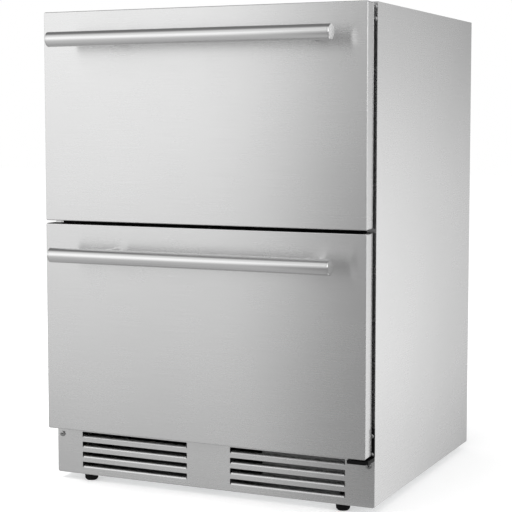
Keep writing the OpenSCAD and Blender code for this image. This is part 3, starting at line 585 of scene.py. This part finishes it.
class FRIDGE_OT_finishes(Operator):
    """Make the materials, and give every CAD node its own, for the nodes that show as they are"""

    bl_idname = "fridge.finishes"
    bl_label = "Finishes"

    def execute(self, context):
        tones = context.scene.fridge_colours
        steel, black, white = tuple(tones.steel), tuple(tones.black), tuple(tones.plastic)
        brushed_steel("brushed_steel", steel, tones.steel_roughness, tones.grain, tones.steel_smear)
        # the handle's steel is 2% lighter than the fronts' to brighten its highlight, a painted highlight;
        # its lower roughness is its own finish
        brushed_steel("handle_steel", toned(steel, 1.02), 0.6 * tones.steel_roughness, tones.grain)
        galvanised("galvanised")
        plated("slide_steel", (0.64, 0.655, 0.67), 0.32)
        plated("plated_screws", (0.4, 0.4, 0.4), 0.24)
        plated("aluminium_fins", (0.78, 0.78, 0.78), 0.36)
        plated("copper", (0.72, 0.41, 0.27), 0.3)
        moulded("black_paint", toned(black, 0.9), 0.42, texture=500, tone=0.15, gloss=0.08)
        moulded("black_plastic", (0.03, 0.03, 0.031), 0.5, texture=900, tone=0.12, gloss=0.3)
        moulded("rubber", toned(black, 0.9), 0.7, texture=1100, depth=0.03 * MM, tone=0.12, gloss=0.08)
        moulded("grey_plastic", (0.45, 0.45, 0.45), 0.5)
        moulded("motor_grey", (0.2, 0.2, 0.21), 0.45)
        moulded("fan_grey", (0.26, 0.26, 0.27), 0.5)
        moulded("white_plastic", white, 0.34, texture=380, depth=0.015 * MM, tone=0.012)
        moulded("bin_plastic", toned(white, 0.97), 0.4, texture=620, depth=0.025 * MM, tone=0.015)
        foam("foam")
        frosted_lens("light_lens")
        for node, obj in frame["nodes"].items():
            for place in obj.material_slots:
                place.material = finish_of(SLOT_OF[node])
        return {"FINISHED"}


class FRIDGE_OT_cabinet(Operator):
    """Make the steel wrap, the centre and bottom rails, the corner bracket and the back panels"""

    bl_idname = "fridge.cabinet"
    bl_label = "Cabinet"

    def centre_rail(self, sheet):
        """The rail between the drawers, black as painted shade of the dark gap, with black end plates
        lapped over the cabinet's flanges as painted shade where the flanges lie in shadow.
        """
        low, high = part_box("centre_rail")
        reach, half_height, gap = 24 * MM, 11 * MM, 0.1 * MM
        middle, face, back = (low.z + high.z) / 2, low.y - sheet, low.y - gap
        bottom, top = middle - half_height, middle + half_height
        section = [(face, bottom), (back, bottom), (back, top), (face, top)]
        bm = bmesh.new()
        add_mesh(bm, cad_copy("centre_rail"))
        # the end plates are painted shade: black sheets over the flanges where these lie in shadow
        for left, right in ((low.x - reach, low.x), (high.x, high.x + reach)):
            extrude_outline(bm, section, left, right)
        bmesh.ops.recalc_face_normals(bm, faces=bm.faces)
        # the rail's black paint, from its slot, is painted shade of the dark gap between the drawers
        piece("centre_rail_finished", to_mesh(bm, "centre_rail"), "centre_rail", rounding=0.3 * MM)

    def execute(self, context):
        sizes = context.scene.fridge_sheet
        rounded_copy("cabinet_wrap", sizes.edge)
        self.centre_rail(sizes.thickness)
        rounded_copy("bottom_rail", sizes.edge)
        rounded_copy("corner_bracket", sizes.edge)
        rounded_copy("back_panel", 0.35 * MM)
        rounded_copy("rear_cover", 0.2 * MM, segments=1)
        rounded_copy("power_inlet", 0.4 * MM)
        return {"FINISHED"}


def open_tub(outline, half_width, open_side, lean):
    """A (y, z) outline between walls that lean in below, open on one side, its folds marked to round."""
    bm = bmesh.new()
    top = max(z for y, z in outline)
    low = min(z for y, z in outline)
    join_rings(bm, [[(side * (half_width - lean * (top - z) / (top - low)), y, z) for y, z in outline]
                    for side in (-1, 1)], open_side)
    bmesh.ops.recalc_face_normals(bm, faces=bm.faces)
    marks = bm.edges.layers.float.new("bevel_weight_edge")
    for edge in bm.edges:
        edge[marks] = 0.0 if edge.is_boundary else 1.0
    return bm


class FRIDGE_OT_liner(Operator):
    """Make the moulded liner of the food space, with its round corners and step"""

    bl_idname = "fridge.liner"
    bl_label = "Liner"

    def execute(self, context):
        sizes = context.scene.fridge_tub
        low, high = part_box("liner")
        wall = sizes.liner_wall
        step_y = FRONT_PLANE + sizes.liner_step_depth
        step_z = low.z + wall + sizes.liner_step_rise
        floor, roof, back = low.z + wall, high.z - wall, high.y - wall
        inside = [(low.y, floor), (step_y, floor), (step_y, step_z), (back, step_z), (back, roof),
                  (low.y, roof)]
        bm = open_tub(inside, high.x - wall, len(inside) - 1, 0)
        bmesh.ops.reverse_faces(bm, faces=bm.faces)
        piece("liner_finished", to_mesh(bm, "liner"), "liner",
              rounding=sizes.liner_corner, segments=5, wall=wall, marked=True)
        return {"FINISHED"}


class FRIDGE_OT_fronts(Operator):
    """Make the two folded steel fronts, their moulded inner panels and the black strip of painted shade on
    the lower one's top
    """

    bl_idname = "fridge.fronts"
    bl_label = "Drawer fronts"

    def execute(self, context):
        sizes = context.scene.fridge_sheet
        fold, sheet = sizes.fold, sizes.thickness
        for drawer in DRAWERS:
            low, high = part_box(drawer + "_front_skin")
            reach = high.y - low.y
            # the folded sheet's section as (inset, depth), round its outside and back along its inside
            section = bend(fold) + [(depth, reach - inset) for inset, depth in reversed(bend(fold / 2))]
            section += [(sizes.back_return, reach), (sizes.back_return, reach - sheet),
                        (sheet, reach - sheet), (sheet, fold), (fold, sheet)]
            rings = []
            for inset, depth in section:
                loop = rounded_rectangle(low.x + inset, high.x - inset, low.z + inset, high.z - inset,
                                         max(1.5 * fold - inset, 0.1 * MM))
                rings.append([(x, low.y + depth, z) for x, z in loop])
            bm = bmesh.new()
            join_rings(bm, rings)
            piece(drawer + "_front_folded", closed_mesh(bm, "front"), drawer + "_front_skin", angle=24)
            rounded_copy(drawer + "_inner_panel", 1.6 * MM, segments=3)
        self.top_painted_shade(fold, sizes.painted_shade)
        return {"FINISHED"}

    def top_painted_shade(self, fold, thickness):
        """A thin black strip of painted shade along the lower front's top, standing for the dark gap
        between the drawers, wrapped over most of its fold.
        """
        low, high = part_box("lower_front_skin")
        back = high.y - fold
        turns = [math.radians(turn) for turn in range(90, 35, -9)]  # from the top down round the fold
        outline = [(back, high.z), (back, high.z + thickness)]
        for radius, run in ((fold + thickness, turns), (fold, reversed(turns))):
            outline += [(low.y + fold - radius * math.cos(turn), high.z - fold + radius * math.sin(turn))
                        for turn in run]
        bm = bmesh.new()
        extrude_outline(bm, outline, low.x + 1.5 * fold, high.x - 1.5 * fold)
        mesh = closed_mesh(bm, "painted_shade")
        # black paint here is painted shade of the dark gap between the drawers
        wear_smooth(mesh, "black_paint")
        mesh.set_sharp_from_angle(angle=math.radians(40))
        painted_shade = link("lower_front_top_trim", mesh)
        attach(painted_shade, BODY_OF["lower_front_skin"])


class FRIDGE_OT_gaskets(Operator):
    """Sweep the gasket's bellows profile round the back of each front"""

    bl_idname = "fridge.gaskets"
    bl_label = "Gaskets"

    def execute(self, context):
        # half of the bellows as (across, deep) in millimetres, and the corner radius of its middle line
        half = [(7, 0), (7, 1.5), (4.4, 1.8), (3.5, 2.8), (3.7, 3.6), (5, 4.3), (6, 5.2), (6, 8.1),
                (5.5, 8.7)]
        corner = 9 * MM
        outline = half + [(-across, deep) for across, deep in reversed(half)]
        width = 2 * max(half)[0] * MM
        for drawer in DRAWERS:
            low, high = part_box(drawer + "_gasket")
            profile = bpy.data.curves.new("profile", "CURVE")
            profile.dimensions = "3D"
            add_spline(profile, [(across * MM, deep * MM, 0) for across, deep in outline])
            helper = link("profile", profile)
            values = {
                "Profile": helper, "Corner": corner, "Finish": finish_of("rubber"),
                "Width": high.x - low.x - width, "Height": high.z - low.z - width,
                "Centre": ((low.x + high.x) / 2, low.y, (low.z + high.z) / 2),
            }
            mesh = run_tree(frame_tree(), [(0, 0, 0)], values, helper)
            piece(drawer + "_gasket_bellows", mesh, drawer + "_gasket", angle=50)
        return {"FINISHED"}


class FRIDGE_OT_handles(Operator):
    """Turn the two handle tubes with their end caps, and round off their posts"""

    bl_idname = "fridge.handles"
    bl_label = "Handles"

    def execute(self, context):
        sizes = context.scene.fridge_handle
        for drawer in DRAWERS:
            low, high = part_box(drawer + "_handle_tube")
            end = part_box(drawer + "_handle_caps")[1].x
            radius = (high.z - low.z) / 2
            centre = Vector((0, (low.y + high.y) / 2, (low.z + high.z) / 2))
            middle, joint, dome, chamfer = end - sizes.cap, sizes.joint, sizes.dome, sizes.chamfer
            half = [
                (middle - joint / 2, radius), (middle - joint / 4, radius - joint),
                (middle + joint / 4, radius - joint), (middle + joint / 2, radius),
                (end - dome - chamfer, radius), (end - dome, radius - chamfer),
                (end - 0.55 * dome, 0.65 * radius), (end - 0.15 * dome, 0.35 * radius), (end, 0),
            ]
            profile = [(-along, across) for along, across in reversed(half)] + half
            bm = bmesh.new()
            revolve(bm, profile, centre, Vector((1, 0, 0)), Vector((0, 0, 1)), 96)
            piece(drawer + "_handle_bar", closed_mesh(bm, "handle"),
                  drawer + "_handle_tube", drawer + "_handle_caps", angle=24)
            rounded_copy(drawer + "_handle_posts", 0.35 * MM)
        return {"FINISHED"}


class FRIDGE_OT_kick_plate(Operator):
    """Make the kick plate: a sheet with eight openings, each with its sill bent in and up"""

    bl_idname = "fridge.kick_plate"
    bl_label = "Kick plate"

    def plate(self, sizes, sheet, middles):
        """The flat sheet with its two groups of openings."""
        low, high = KICK
        half = sizes.length / 2
        tops = [sizes.top - row * sizes.pitch for row in range(sizes.rows)]
        openings = [rounded_rectangle(middle - half, middle + half, top - sizes.height, top, sizes.corner)
                    for middle in middles for top in tops]
        outline = [(low.x, low.z + sheet), (high.x, low.z + sheet), (high.x, high.z), (low.x, high.z)]
        plate = plate_with_openings(outline, openings, sheet, 0.2 * MM)
        plate.transform(Matrix.Translation((0, low.y, 0)))
        return plate

    def sills(self, sizes, middles):
        """The curled sills, their section as (y, z) in millimetres from the bottom of an opening."""
        curl, start_y, start_z = 4.1, -1.2, -0.75
        section = []
        for turn in (math.radians(12 * i) for i in range(8)):
            section.append((curl * (1 - math.cos(turn)) + start_y, curl * math.sin(turn) + start_z))
        section += [(6.2, 3.55), (6.2, 2.6), (2.6, 2.0), (0.9, 0.9), (0, start_z)]
        reach = sizes.length / 2 - sizes.corner
        bm = bmesh.new()
        extrude_outline(bm, [(y * MM, z * MM) for y, z in section], -reach, reach)
        points = [(middle, FRONT_PLANE, sizes.top - sizes.height) for middle in middles]
        return repeat(closed_mesh(bm, "sill"), points, "brushed_steel", sizes.rows, (0, 0, -sizes.pitch))

    def bottom_fold(self, sheet):
        """The bottom edge bent back under the base, as (y, z) in millimetres from the sheet's end."""
        low, high = KICK
        section = [(-1.2, 0), (-1.2, -0.6), (-1, -1.05), (-0.6, -1.2), (0, -1.2), (8, -1.2), (8, 0),
                   (0, 0)]
        bm = bmesh.new()
        extrude_outline(bm, [(FRONT_PLANE + y * MM, low.z + sheet + z * MM) for y, z in section],
                        low.x + 2 * sheet, high.x - 2 * sheet)
        return closed_mesh(bm, "fold")

    def execute(self, context):
        sizes = context.scene.fridge_louvre
        sheet = context.scene.fridge_sheet.thickness
        middles = [side * (sizes.gap + sizes.length) / 2 for side in (-1, 1)]
        bm = bmesh.new()
        add_mesh(bm, self.plate(sizes, sheet, middles))
        add_mesh(bm, self.sills(sizes, middles))
        add_mesh(bm, self.bottom_fold(sheet))
        piece("kick_plate_louvred", to_mesh(bm, "kick_plate"), "kick_plate", angle=40)
        return {"FINISHED"}


def pan_head(radius, height):
    """A domed screw head facing -y at the origin, with a cross recess."""
    bm = bmesh.new()
    # shares of the height and of the radius, from the rim over the dome down into the recess
    dome = [(0, 1), (0.45, 1), (0.75, 0.9), (0.95, 0.62), (1, 0.42), (0.98, 0.4), (0.35, 0)]
    revolve(bm, [(height * up, radius * out) for up, out in dome],
            Vector((0, 0, 0)), Vector((0, -1, 0)), Vector((1, 0, 0)), 32)
    # the recess's faces between its four wings are raised again
    floor = max(bm.verts, key=lambda vert: len(vert.link_edges))
    for face in list(floor.link_faces):
        middle = face.calc_center_median()
        if 22 < math.degrees(math.atan2(middle.z, middle.x)) % 90 < 68:
            for vert in bmesh.ops.poke(bm, faces=[face])["verts"]:
                vert.co.y = -0.9 * height
    return closed_mesh(bm, "head")


class FRIDGE_OT_screws(Operator):
    """Set the screws of the kick plate, the front frame and the rear cover"""

    bl_idname = "fridge.screws"
    bl_label = "Screws"

    def heads(self, node, spots, radius, rise, turn=0.0):
        """Heads on spots that stand for a CAD node's screws, turned from facing -y."""
        shape = pan_head(radius, rise)
        shape.transform(Matrix.Rotation(turn, 4, "Z"))
        piece(node.removesuffix("s") + "_heads", repeat(shape, spots, "plated_screws"), node)

    def execute(self, context):
        low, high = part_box("kick_screws")
        radius = 5 * MM
        spots = [(side * (high.x - radius), KICK[0].y, (low.z + high.z) / 2) for side in (-1, 1)]
        self.heads("kick_screws", spots, radius, 3 * MM)
        low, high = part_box("frame_screws")
        middle, bracket = (low.x + high.x) / 2, 3.2
        heights = ((101, bracket), (131, bracket), (798, 0), (817, 0))
        spots = [(middle, FRONT_PLANE - lift * MM, z * MM) for z, lift in heights]
        self.heads("frame_screws", spots, 3.8 * MM, 2.4 * MM)
        low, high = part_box("rear_screws")
        radius, rise = 4 * MM, 0.9 * MM
        spots = [(x, high.y - rise, z) for x in (low.x + radius, high.x - radius)
                 for z in (low.z + radius, high.z - radius)]
        self.heads("rear_screws", spots, radius, rise, math.pi)
        return {"FINISHED"}


class FRIDGE_OT_feet(Operator):
    """Turn the four levelling feet with their gripping ribs"""

    bl_idname = "fridge.feet"
    bl_label = "Levelling feet"

    def execute(self, context):
        pad, screw, sides = 10.8, 5 * MM, 72
        # the pad's outline as (height, inset from its radius) in millimetres
        rim = [(0, 3.2), (0.4, 2.6), (2.6, 0.7), (3.4, 0.4), (pad - 2.2, 0), (pad - 0.7, 0.2), (pad, 1.2)]
        for foot in ("front_left", "front_right", "rear_left", "rear_right"):
            low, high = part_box(foot + "_foot")
            radius = (high.x - low.x) / 2
            centre = Vector(((low.x + high.x) / 2, (low.y + high.y) / 2, 0))
            profile = [(0, 0)] + [(up * MM, radius - inset * MM) for up, inset in rim]
            profile.append((pad * MM, screw))
            thread = pad * MM
            while thread < high.z - 1.6 * MM:
                profile += [(thread + 0.3 * MM, screw), (thread + 0.8 * MM, screw - 0.6 * MM),
                            (thread + 1.25 * MM, screw)]
                thread += 1.5 * MM
            profile += [(high.z - 0.3 * MM, screw - 0.4 * MM), (high.z, 0)]
            bm = bmesh.new()
            revolve(bm, profile, centre, Vector((0, 0, 1)), Vector((1, 0, 0)), sides)
            for vert in bm.verts:
                out = (vert.co - centre).xy
                if 2.5 * MM < vert.co.z < (pad - 0.5) * MM and out.length > radius - 1.5 * MM:
                    if round(math.atan2(out.y, out.x) / (2 * math.pi / sides)) % 2:
                        vert.co.xy = centre.xy + out * (1 - 0.35 * MM / out.length)
            piece(foot + "_foot_turned", closed_mesh(bm, "foot"), foot + "_foot", angle=40)
        return {"FINISHED"}


class FRIDGE_OT_bins(Operator):
    """Mould the two bins with round corners, leaning walls and a brim"""

    bl_idname = "fridge.bins"
    bl_label = "Bins"

    def execute(self, context):
        sizes = context.scene.fridge_tub
        for drawer in DRAWERS:
            low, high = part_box(drawer + "_bin")
            front, back = low.y + sizes.end_brim, high.y - sizes.end_brim
            outline = [(front, low.z), (back, low.z), (back, high.z), (front, high.z)]
            if drawer == "lower":
                step_y, step_z = FRONT_PLANE + sizes.bin_step_depth, sizes.bin_step_height
                outline[1:2] = [(step_y, low.z), (step_y, step_z), (back, step_z)]
            bm = open_tub(outline, high.x - sizes.side_brim, len(outline) - 2, sizes.lean)
            edges = [edge for edge in bm.edges if edge.is_boundary]
            made = bmesh.ops.extrude_edge_only(bm, edges=edges)["geom"]
            middle = (front + back) / 2
            for vert in (item for item in made if isinstance(item, bmesh.types.BMVert)):
                vert.co.x += math.copysign(sizes.side_brim, vert.co.x)
                vert.co.y += math.copysign(sizes.end_brim, vert.co.y - middle)
            bmesh.ops.recalc_face_normals(bm, faces=bm.faces)
            piece(drawer + "_bin_moulded", to_mesh(bm, "bin"), drawer + "_bin",
                  rounding=sizes.corner, segments=5, wall=sizes.wall, marked=True)
        return {"FINISHED"}


class FRIDGE_OT_inside(Operator):
    """Round off the rails and carriers, and make the pieces of the food space and the machine space"""

    bl_idname = "fridge.inside"
    bl_label = "Inside"

    def execute(self, context):
        for drawer in DRAWERS:
            rounded_copy(drawer + "_carrier", 0.5 * MM)
            rounded_copy(drawer + "_cabinet_rails", 0.25 * MM)
            rounded_copy(drawer + "_drawer_rails", 0.25 * MM)
        rounded_copy("evaporator_cover", 0.8 * MM)
        rounded_copy("light_bar", 1.2 * MM, segments=3)
        rounded_copy("control_panel", 0.8 * MM, segments=3)
        for node in ("compressor", "compressor_grommets", "drain_pan", "control_box", "base_pan"):
            rounded_copy(node, 0.4 * MM)
        for node in ("condenser_fan_motor", "condenser_fan", "evaporator_fan_motor", "evaporator_fan",
                     "filter_drier", "refrigerant_tubes", "condenser_fan_shroud"):
            piece(node + "_finished", cad_copy(node), node)
        return {"FINISHED"}


# ---------- stage ----------

STUDIO = 4  # radius of the studio's round wall, and height and half width of its ceiling
FACES = FRONT_PLANE - 35 * MM  # plane of the drawer fronts' faces, which the front cards are mirrored in
SIDE = 0.3  # plane of the side panel, which the rear cards are mirrored in


def smooth(low, high, value):
    """0 at low, 1 at high, and a soft step between."""
    part = min(max((value - low) / (high - low), 0), 1)
    return part * part * (3 - 2 * part)


def sight(point, eye):
    """Bearing and rise in degrees of a point from an eye that looks along y."""
    x, y, z = (point[i] - eye[i] for i in range(3))
    return math.degrees(math.atan2(x, abs(y))), math.degrees(math.atan2(z, math.hypot(x, y)))


def front_glow(point):
    """Brightness of the room in front: a tall panel at the left, dim at the right, fading to the floor."""
    # turn and rise are in degrees as the mirrored camera sees them, and height is in metres
    eye = bpy.context.scene.fridge_studio.place
    turn, rise = sight(point, (eye[0], 2 * FACES - eye[1], eye[2]))
    low, height = max(-rise, 0), point[2]
    fall = 0.04 * min(low, 12) + 0.08 * smooth(1, 7, low) + 0.06 * smooth(7, 10, low)
    top = 0.25 * smooth(1.9, 2.8, height) + 0.2 * smooth(2.8, STUDIO, height)
    glow = 1.16 - fall - top + 0.1 * smooth(2, 5, rise)
    dim = smooth(-25.3, -20.5, turn) * (0.63 - 0.2 * smooth(9.5, 13, low))
    dim *= 1 - 0.35 * smooth(1.25, 1.6, height)
    side_panel = smooth(0, 5, turn) * smooth(-1, 3, rise) * (1 - 0.5 * smooth(1.7, 2.4, height))
    under = smooth(-0.7, -0.3, point[1]) * smooth(0.1, 0, height)
    return max(glow * (1 - dim), 1.9 * side_panel) * (1 - 0.14 * under)


def rear_glow(point):
    """Brightness of the room behind at the right, which the side panel mirrors."""
    eye = bpy.context.scene.fridge_studio.place
    turn, rise = sight(point, (2 * SIDE - eye[0], eye[1], eye[2]))
    glow = 1.06 - 0.46 * smooth(-3.5, 6, rise) - 0.22 * smooth(-8, -14, rise)
    return glow * (0.52 + 0.54 * smooth(14.3, 20.8, turn))


def room_glow(point):
    """Brightness all round: the front room up to the plane of the fronts, and the rear room behind it."""
    part = smooth(FRONT_PLANE - 30 * MM, FRONT_PLANE + 30 * MM, point[1])
    return (1 - part) * front_glow(point) + part * rear_glow(point)


def ceiling_glow(point):
    """Brightness overhead: soft in front, dark above and behind the refrigerator."""
    return 0.21 + 0.75 * smooth(0.3, 3.6, -point[1])


def card(name, columns, rows, place, glow):
    """A sheet of columns by rows, placed by one rule and lit by another, that only reflections see."""
    verts, faces = [place(column, row) for column in columns for row in rows], []
    count = len(rows)
    for i in range(len(columns) - 1):
        for j in range(i * count, (i + 1) * count - 1):
            faces.append((j, j + count, j + count + 1, j + 1))
    mesh = bpy.data.meshes.new(name)
    mesh.from_pydata(verts, [], faces)
    lit = mesh.attributes.new("glow", "FLOAT", "POINT").data
    lit.foreach_set("value", [glow(vert) for vert in verts])
    mesh.materials.append(bpy.data.materials["studio_card"])
    obj = link(name, mesh)
    obj.visible_camera = obj.visible_diffuse = obj.visible_shadow = obj.visible_transmission = False


def round_wall(azimuth, height):
    """A point on the round wall of the studio."""
    angle = math.radians(azimuth)
    return (STUDIO * math.sin(angle), -STUDIO * math.cos(angle), height)


def low_card(azimuth, reach):
    """A point just above the floor, out from round the refrigerator to the round wall."""
    side, front, back, lift = 0.302, 0.218, 0.317, 0.002
    angle = math.radians(azimuth)
    out = Vector((math.sin(angle), -math.cos(angle)))
    near = min(side / max(abs(out.x), 0.001), (front if out.y < 0 else back) / max(abs(out.y), 0.001))
    spot = out * (near + (STUDIO - near) * reach)
    return (spot.x, spot.y, lift)


def empty_tree(owner):
    """The cleared node tree of a material or world."""
    owner.use_nodes = True
    owner.node_tree.nodes.clear()
    return owner.node_tree


def seen_white(tree, shader, white):
    """Mixes a white shader in for camera, glossy and transmission rays."""
    light = add_node(tree, "LightPath")
    seen = light.outputs["Is Camera Ray"]
    for name in ("Is Glossy Ray", "Is Transmission Ray"):
        seen = add_node(tree, "Math", seen, light.outputs[name], operation="MAXIMUM").outputs["Value"]
    return add_node(tree, "MixShader", seen, shader, white).outputs["Shader"]


class FRIDGE_OT_stage(Operator):
    """Set up the floor, the soft light, the studio cards and the camera"""

    bl_idname = "fridge.stage"
    bl_label = "Stage"

    def floor(self, paleness):
        """A pale floor that keeps the shadow, lifted to white where it is seen."""
        half, lift = 14, 0.42
        mesh = bpy.data.meshes.new("floor")
        mesh.from_pydata([(-half, -half, 0), (half, -half, 0), (half, half, 0), (-half, half, 0)], [],
                         [(0, 1, 2, 3)])
        material = bpy.data.materials.new("floor")
        tree = empty_tree(material)
        plain = add_node(tree, "BsdfDiffuse", Color=(paleness, paleness, paleness, 1))
        plain = plain.outputs["BSDF"]
        lifted = add_node(tree, "Emission", Strength=lift).outputs["Emission"]
        lifted = add_node(tree, "AddShader", plain, lifted).outputs["Shader"]
        add_node(tree, "OutputMaterial", Surface=seen_white(tree, plain, lifted))
        mesh.materials.append(material)
        link("floor", mesh)

    def cards(self):
        """Cards all round, on the floor and overhead, each lit by the brightness at its corners."""
        tree = empty_tree(bpy.data.materials.new("studio_card"))
        glow = add_node(tree, "Attribute")
        glow.attribute_name = "glow"
        shine = add_node(tree, "Emission", Strength=glow.outputs["Fac"])
        add_node(tree, "OutputMaterial", Surface=shine.outputs["Emission"])
        around = steps(-180, 180, 181)
        heights = [0.002, 0.2, 0.4, 0.6, 0.8, 1, 1.2, 1.4, 1.7, 2, 2.4, 2.8, 3.2, 3.6, STUDIO]
        reaches = [0, 0.02, 0.05, 0.09, 0.14, 0.2, 0.28, 0.4, 0.55, 0.75, 1]
        card("room_card", around, heights, round_wall, room_glow)
        card("floor_card", around, reaches, low_card, room_glow)
        card("ceiling_card", steps(-STUDIO, STUDIO, 9), steps(-STUDIO, STUDIO, 17),
             lambda x, y: (x, y, STUDIO), ceiling_glow)

    def lamp(self, power):
        """A soft round light above the left front, aimed at the refrigerator's middle."""
        place, target = Vector((-0.7, -0.9, 3.3)), Vector((0, 0, 0.4))
        data = bpy.data.lights.new("overhead_soft", "AREA")
        data.shape, data.size, data.energy = "DISK", 2.6, power
        obj = link("overhead_soft", data)
        obj.location = place
        obj.rotation_euler = (target - place).to_track_quat("-Z", "Y").to_euler()
        obj.visible_camera = obj.visible_glossy = False

    def world(self):
        """White where it is seen, and a little less as light."""
        world = bpy.data.worlds.new("studio")
        bpy.context.scene.world = world
        tree = empty_tree(world)
        shades = [add_node(tree, "Background", (1, 1, 1, 1), strength).outputs["Background"]
                  for strength in (0.75, 1.0)]
        add_node(tree, "OutputWorld", Surface=seen_white(tree, *shades))

    def camera(self, studio):
        """The camera at the photo's angle."""
        data = bpy.data.cameras.new("camera")
        data.lens, data.sensor_width, data.shift_y = studio.lens, 36, studio.shift
        data.clip_start, data.clip_end = 0.05, 60
        obj = link("camera", data)
        obj.location = studio.place
        obj.rotation_euler = (math.radians(90) - studio.tilt, 0, studio.turn)
        bpy.context.scene.camera = obj

    def execute(self, context):
        studio = context.scene.fridge_studio
        self.floor(studio.floor)
        self.cards()
        self.lamp(studio.lamp)
        self.world()
        self.camera(studio)
        context.scene.view_settings.view_transform = "Standard"
        return {"FINISHED"}


OPERATORS = (
    FRIDGE_OT_finishes, FRIDGE_OT_cabinet, FRIDGE_OT_liner, FRIDGE_OT_fronts, FRIDGE_OT_gaskets,
    FRIDGE_OT_handles, FRIDGE_OT_kick_plate, FRIDGE_OT_screws, FRIDGE_OT_feet, FRIDGE_OT_bins,
    FRIDGE_OT_inside, FRIDGE_OT_stage,
)


class FRIDGE_PT_panel(Panel):
    """Sidebar panel of the refrigerator"""

    bl_idname = "FRIDGE_PT_panel"
    bl_label = "Refrigerator"
    bl_space_type = "VIEW_3D"
    bl_region_type = "UI"
    bl_category = "Refrigerator"

    def draw(self, context):
        for name, group in SETTINGS.items():
            column = self.layout.column(align=True)
            for prop in group.__annotations__:
                column.prop(getattr(context.scene, name), prop)
        for operator in OPERATORS:
            self.layout.operator(operator.bl_idname)


CLASSES = (*SETTINGS.values(), *OPERATORS, FRIDGE_PT_panel)


def register():
    for item in CLASSES:
        bpy.utils.register_class(item)
    for name, group in SETTINGS.items():
        setattr(bpy.types.Scene, name, PointerProperty(type=group))


def unregister():
    for name in SETTINGS:
        delattr(bpy.types.Scene, name)
    for item in reversed(CLASSES):
        bpy.utils.unregister_class(item)


def main():
    """Registers the add-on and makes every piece."""
    register()
    for operator in OPERATORS:
        group, name = operator.bl_idname.split(".")
        getattr(getattr(bpy.ops, group), name)()


if __name__ == "__main__":
    main()
